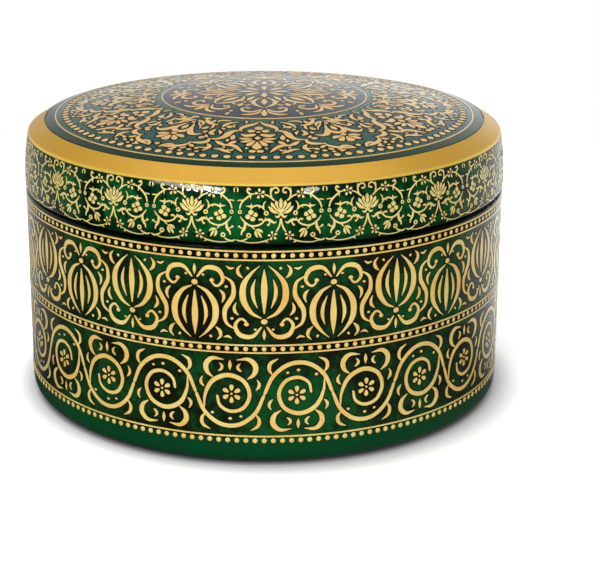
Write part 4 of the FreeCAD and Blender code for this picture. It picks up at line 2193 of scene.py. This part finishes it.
def node_span(node: str) -> tuple[float, float, float]:
    """Returns a node's radius and the heights of its foot and top in millimetres."""
    low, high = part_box(node)
    return high.x / MM, low.z / MM, high.z / MM


@dataclass(frozen=True)
class FrameSizes:
    """Sizes in millimetres that the ornament takes from the frame.

    Attributes:
        wall_radius: Radius of the body's wall.
        lid_foot: Height of the lid's foot.
        lid_radius: Radius of the lid's foot.
        band_foot: Height of the gilt band's lower edge.
        dome_rim: Radius of the dome's rim.
        crown: Height of the dome's crown.
        medallion_face: Height of the medallion's crown.
        bead_heights: Height of each row of beads on the wall, from the top.
        upper_middle: Height of the middle of the upper band.
        lower_middle: Height of the middle of the lower band.
    """

    wall_radius: float
    lid_foot: float
    lid_radius: float
    band_foot: float
    dome_rim: float
    crown: float
    medallion_face: float
    bead_heights: tuple[float, float, float]
    upper_middle: float
    lower_middle: float

    @classmethod
    def read(cls) -> "FrameSizes":
        """Reads the sizes from the nodes' boxes.

        Returns:
            The sizes.
        """
        body_radius, _, _ = node_span("box_body")
        lid_radius, lid_foot, crown = node_span("lid")
        band_radius, band_foot, _ = node_span("gilt_edge_band")
        _, _, medallion_face = node_span("medallion_ground")
        foot_line = node_middle("foot_line")
        bead_heights = (
            node_middle("upper_bead_ground"),
            node_middle("middle_bead_ground"),
            foot_line - FOOT_BEAD_DROP,
        )
        return cls(
            wall_radius=body_radius,
            lid_foot=lid_foot,
            lid_radius=lid_radius - SKIRT_BULGE,
            band_foot=band_foot,
            dome_rim=band_radius - BAND_WIDTH - KEY_GROOVE,
            crown=crown,
            medallion_face=medallion_face,
            bead_heights=bead_heights,
            upper_middle=(node_middle("upper_line_bottom") + node_middle("middle_line_top")) / 2,
            lower_middle=(node_middle("middle_line_bottom") + foot_line) / 2,
        )


def main() -> None:
    """Builds the dressed box and its studio."""
    logging.basicConfig(level=logging.INFO, format="%(message)s")
    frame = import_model()
    sizes = FrameSizes.read()
    LOG.info("frame sizes: %s", sizes)
    wall = WallSurface(sizes.wall_radius)
    skirt = SkirtSurface(
        radius=sizes.lid_radius,
        top_radius=sizes.lid_radius - SKIRT_TOP_INSET,
        height=sizes.band_foot - sizes.lid_foot,
        bulge_radius=SKIRT_CURVE,
        foot_round=SKIRT_FOOT_ROUND,
        base=sizes.lid_foot,
    )
    dome = DomeSurface(sizes.dome_rim, DOME_RISE, sizes.crown)
    crown = DomeSurface(sizes.dome_rim, DOME_RISE, sizes.medallion_face)

    workshop = Workshop()
    Glassware(frame["nodes"]).dress(workshop)
    SkirtScrolls(surface=skirt).build(workshop)
    DomeFlowers(surface=dome).build(workshop)
    Medallion(surface=crown).build(workshop)
    WallBands(
        surface=wall,
        upper_middle=sizes.upper_middle,
        lower_middle=sizes.lower_middle,
        bead_heights=sizes.bead_heights,
    ).build(workshop)
    Studio().build()


if __name__ == "__main__":
    main()
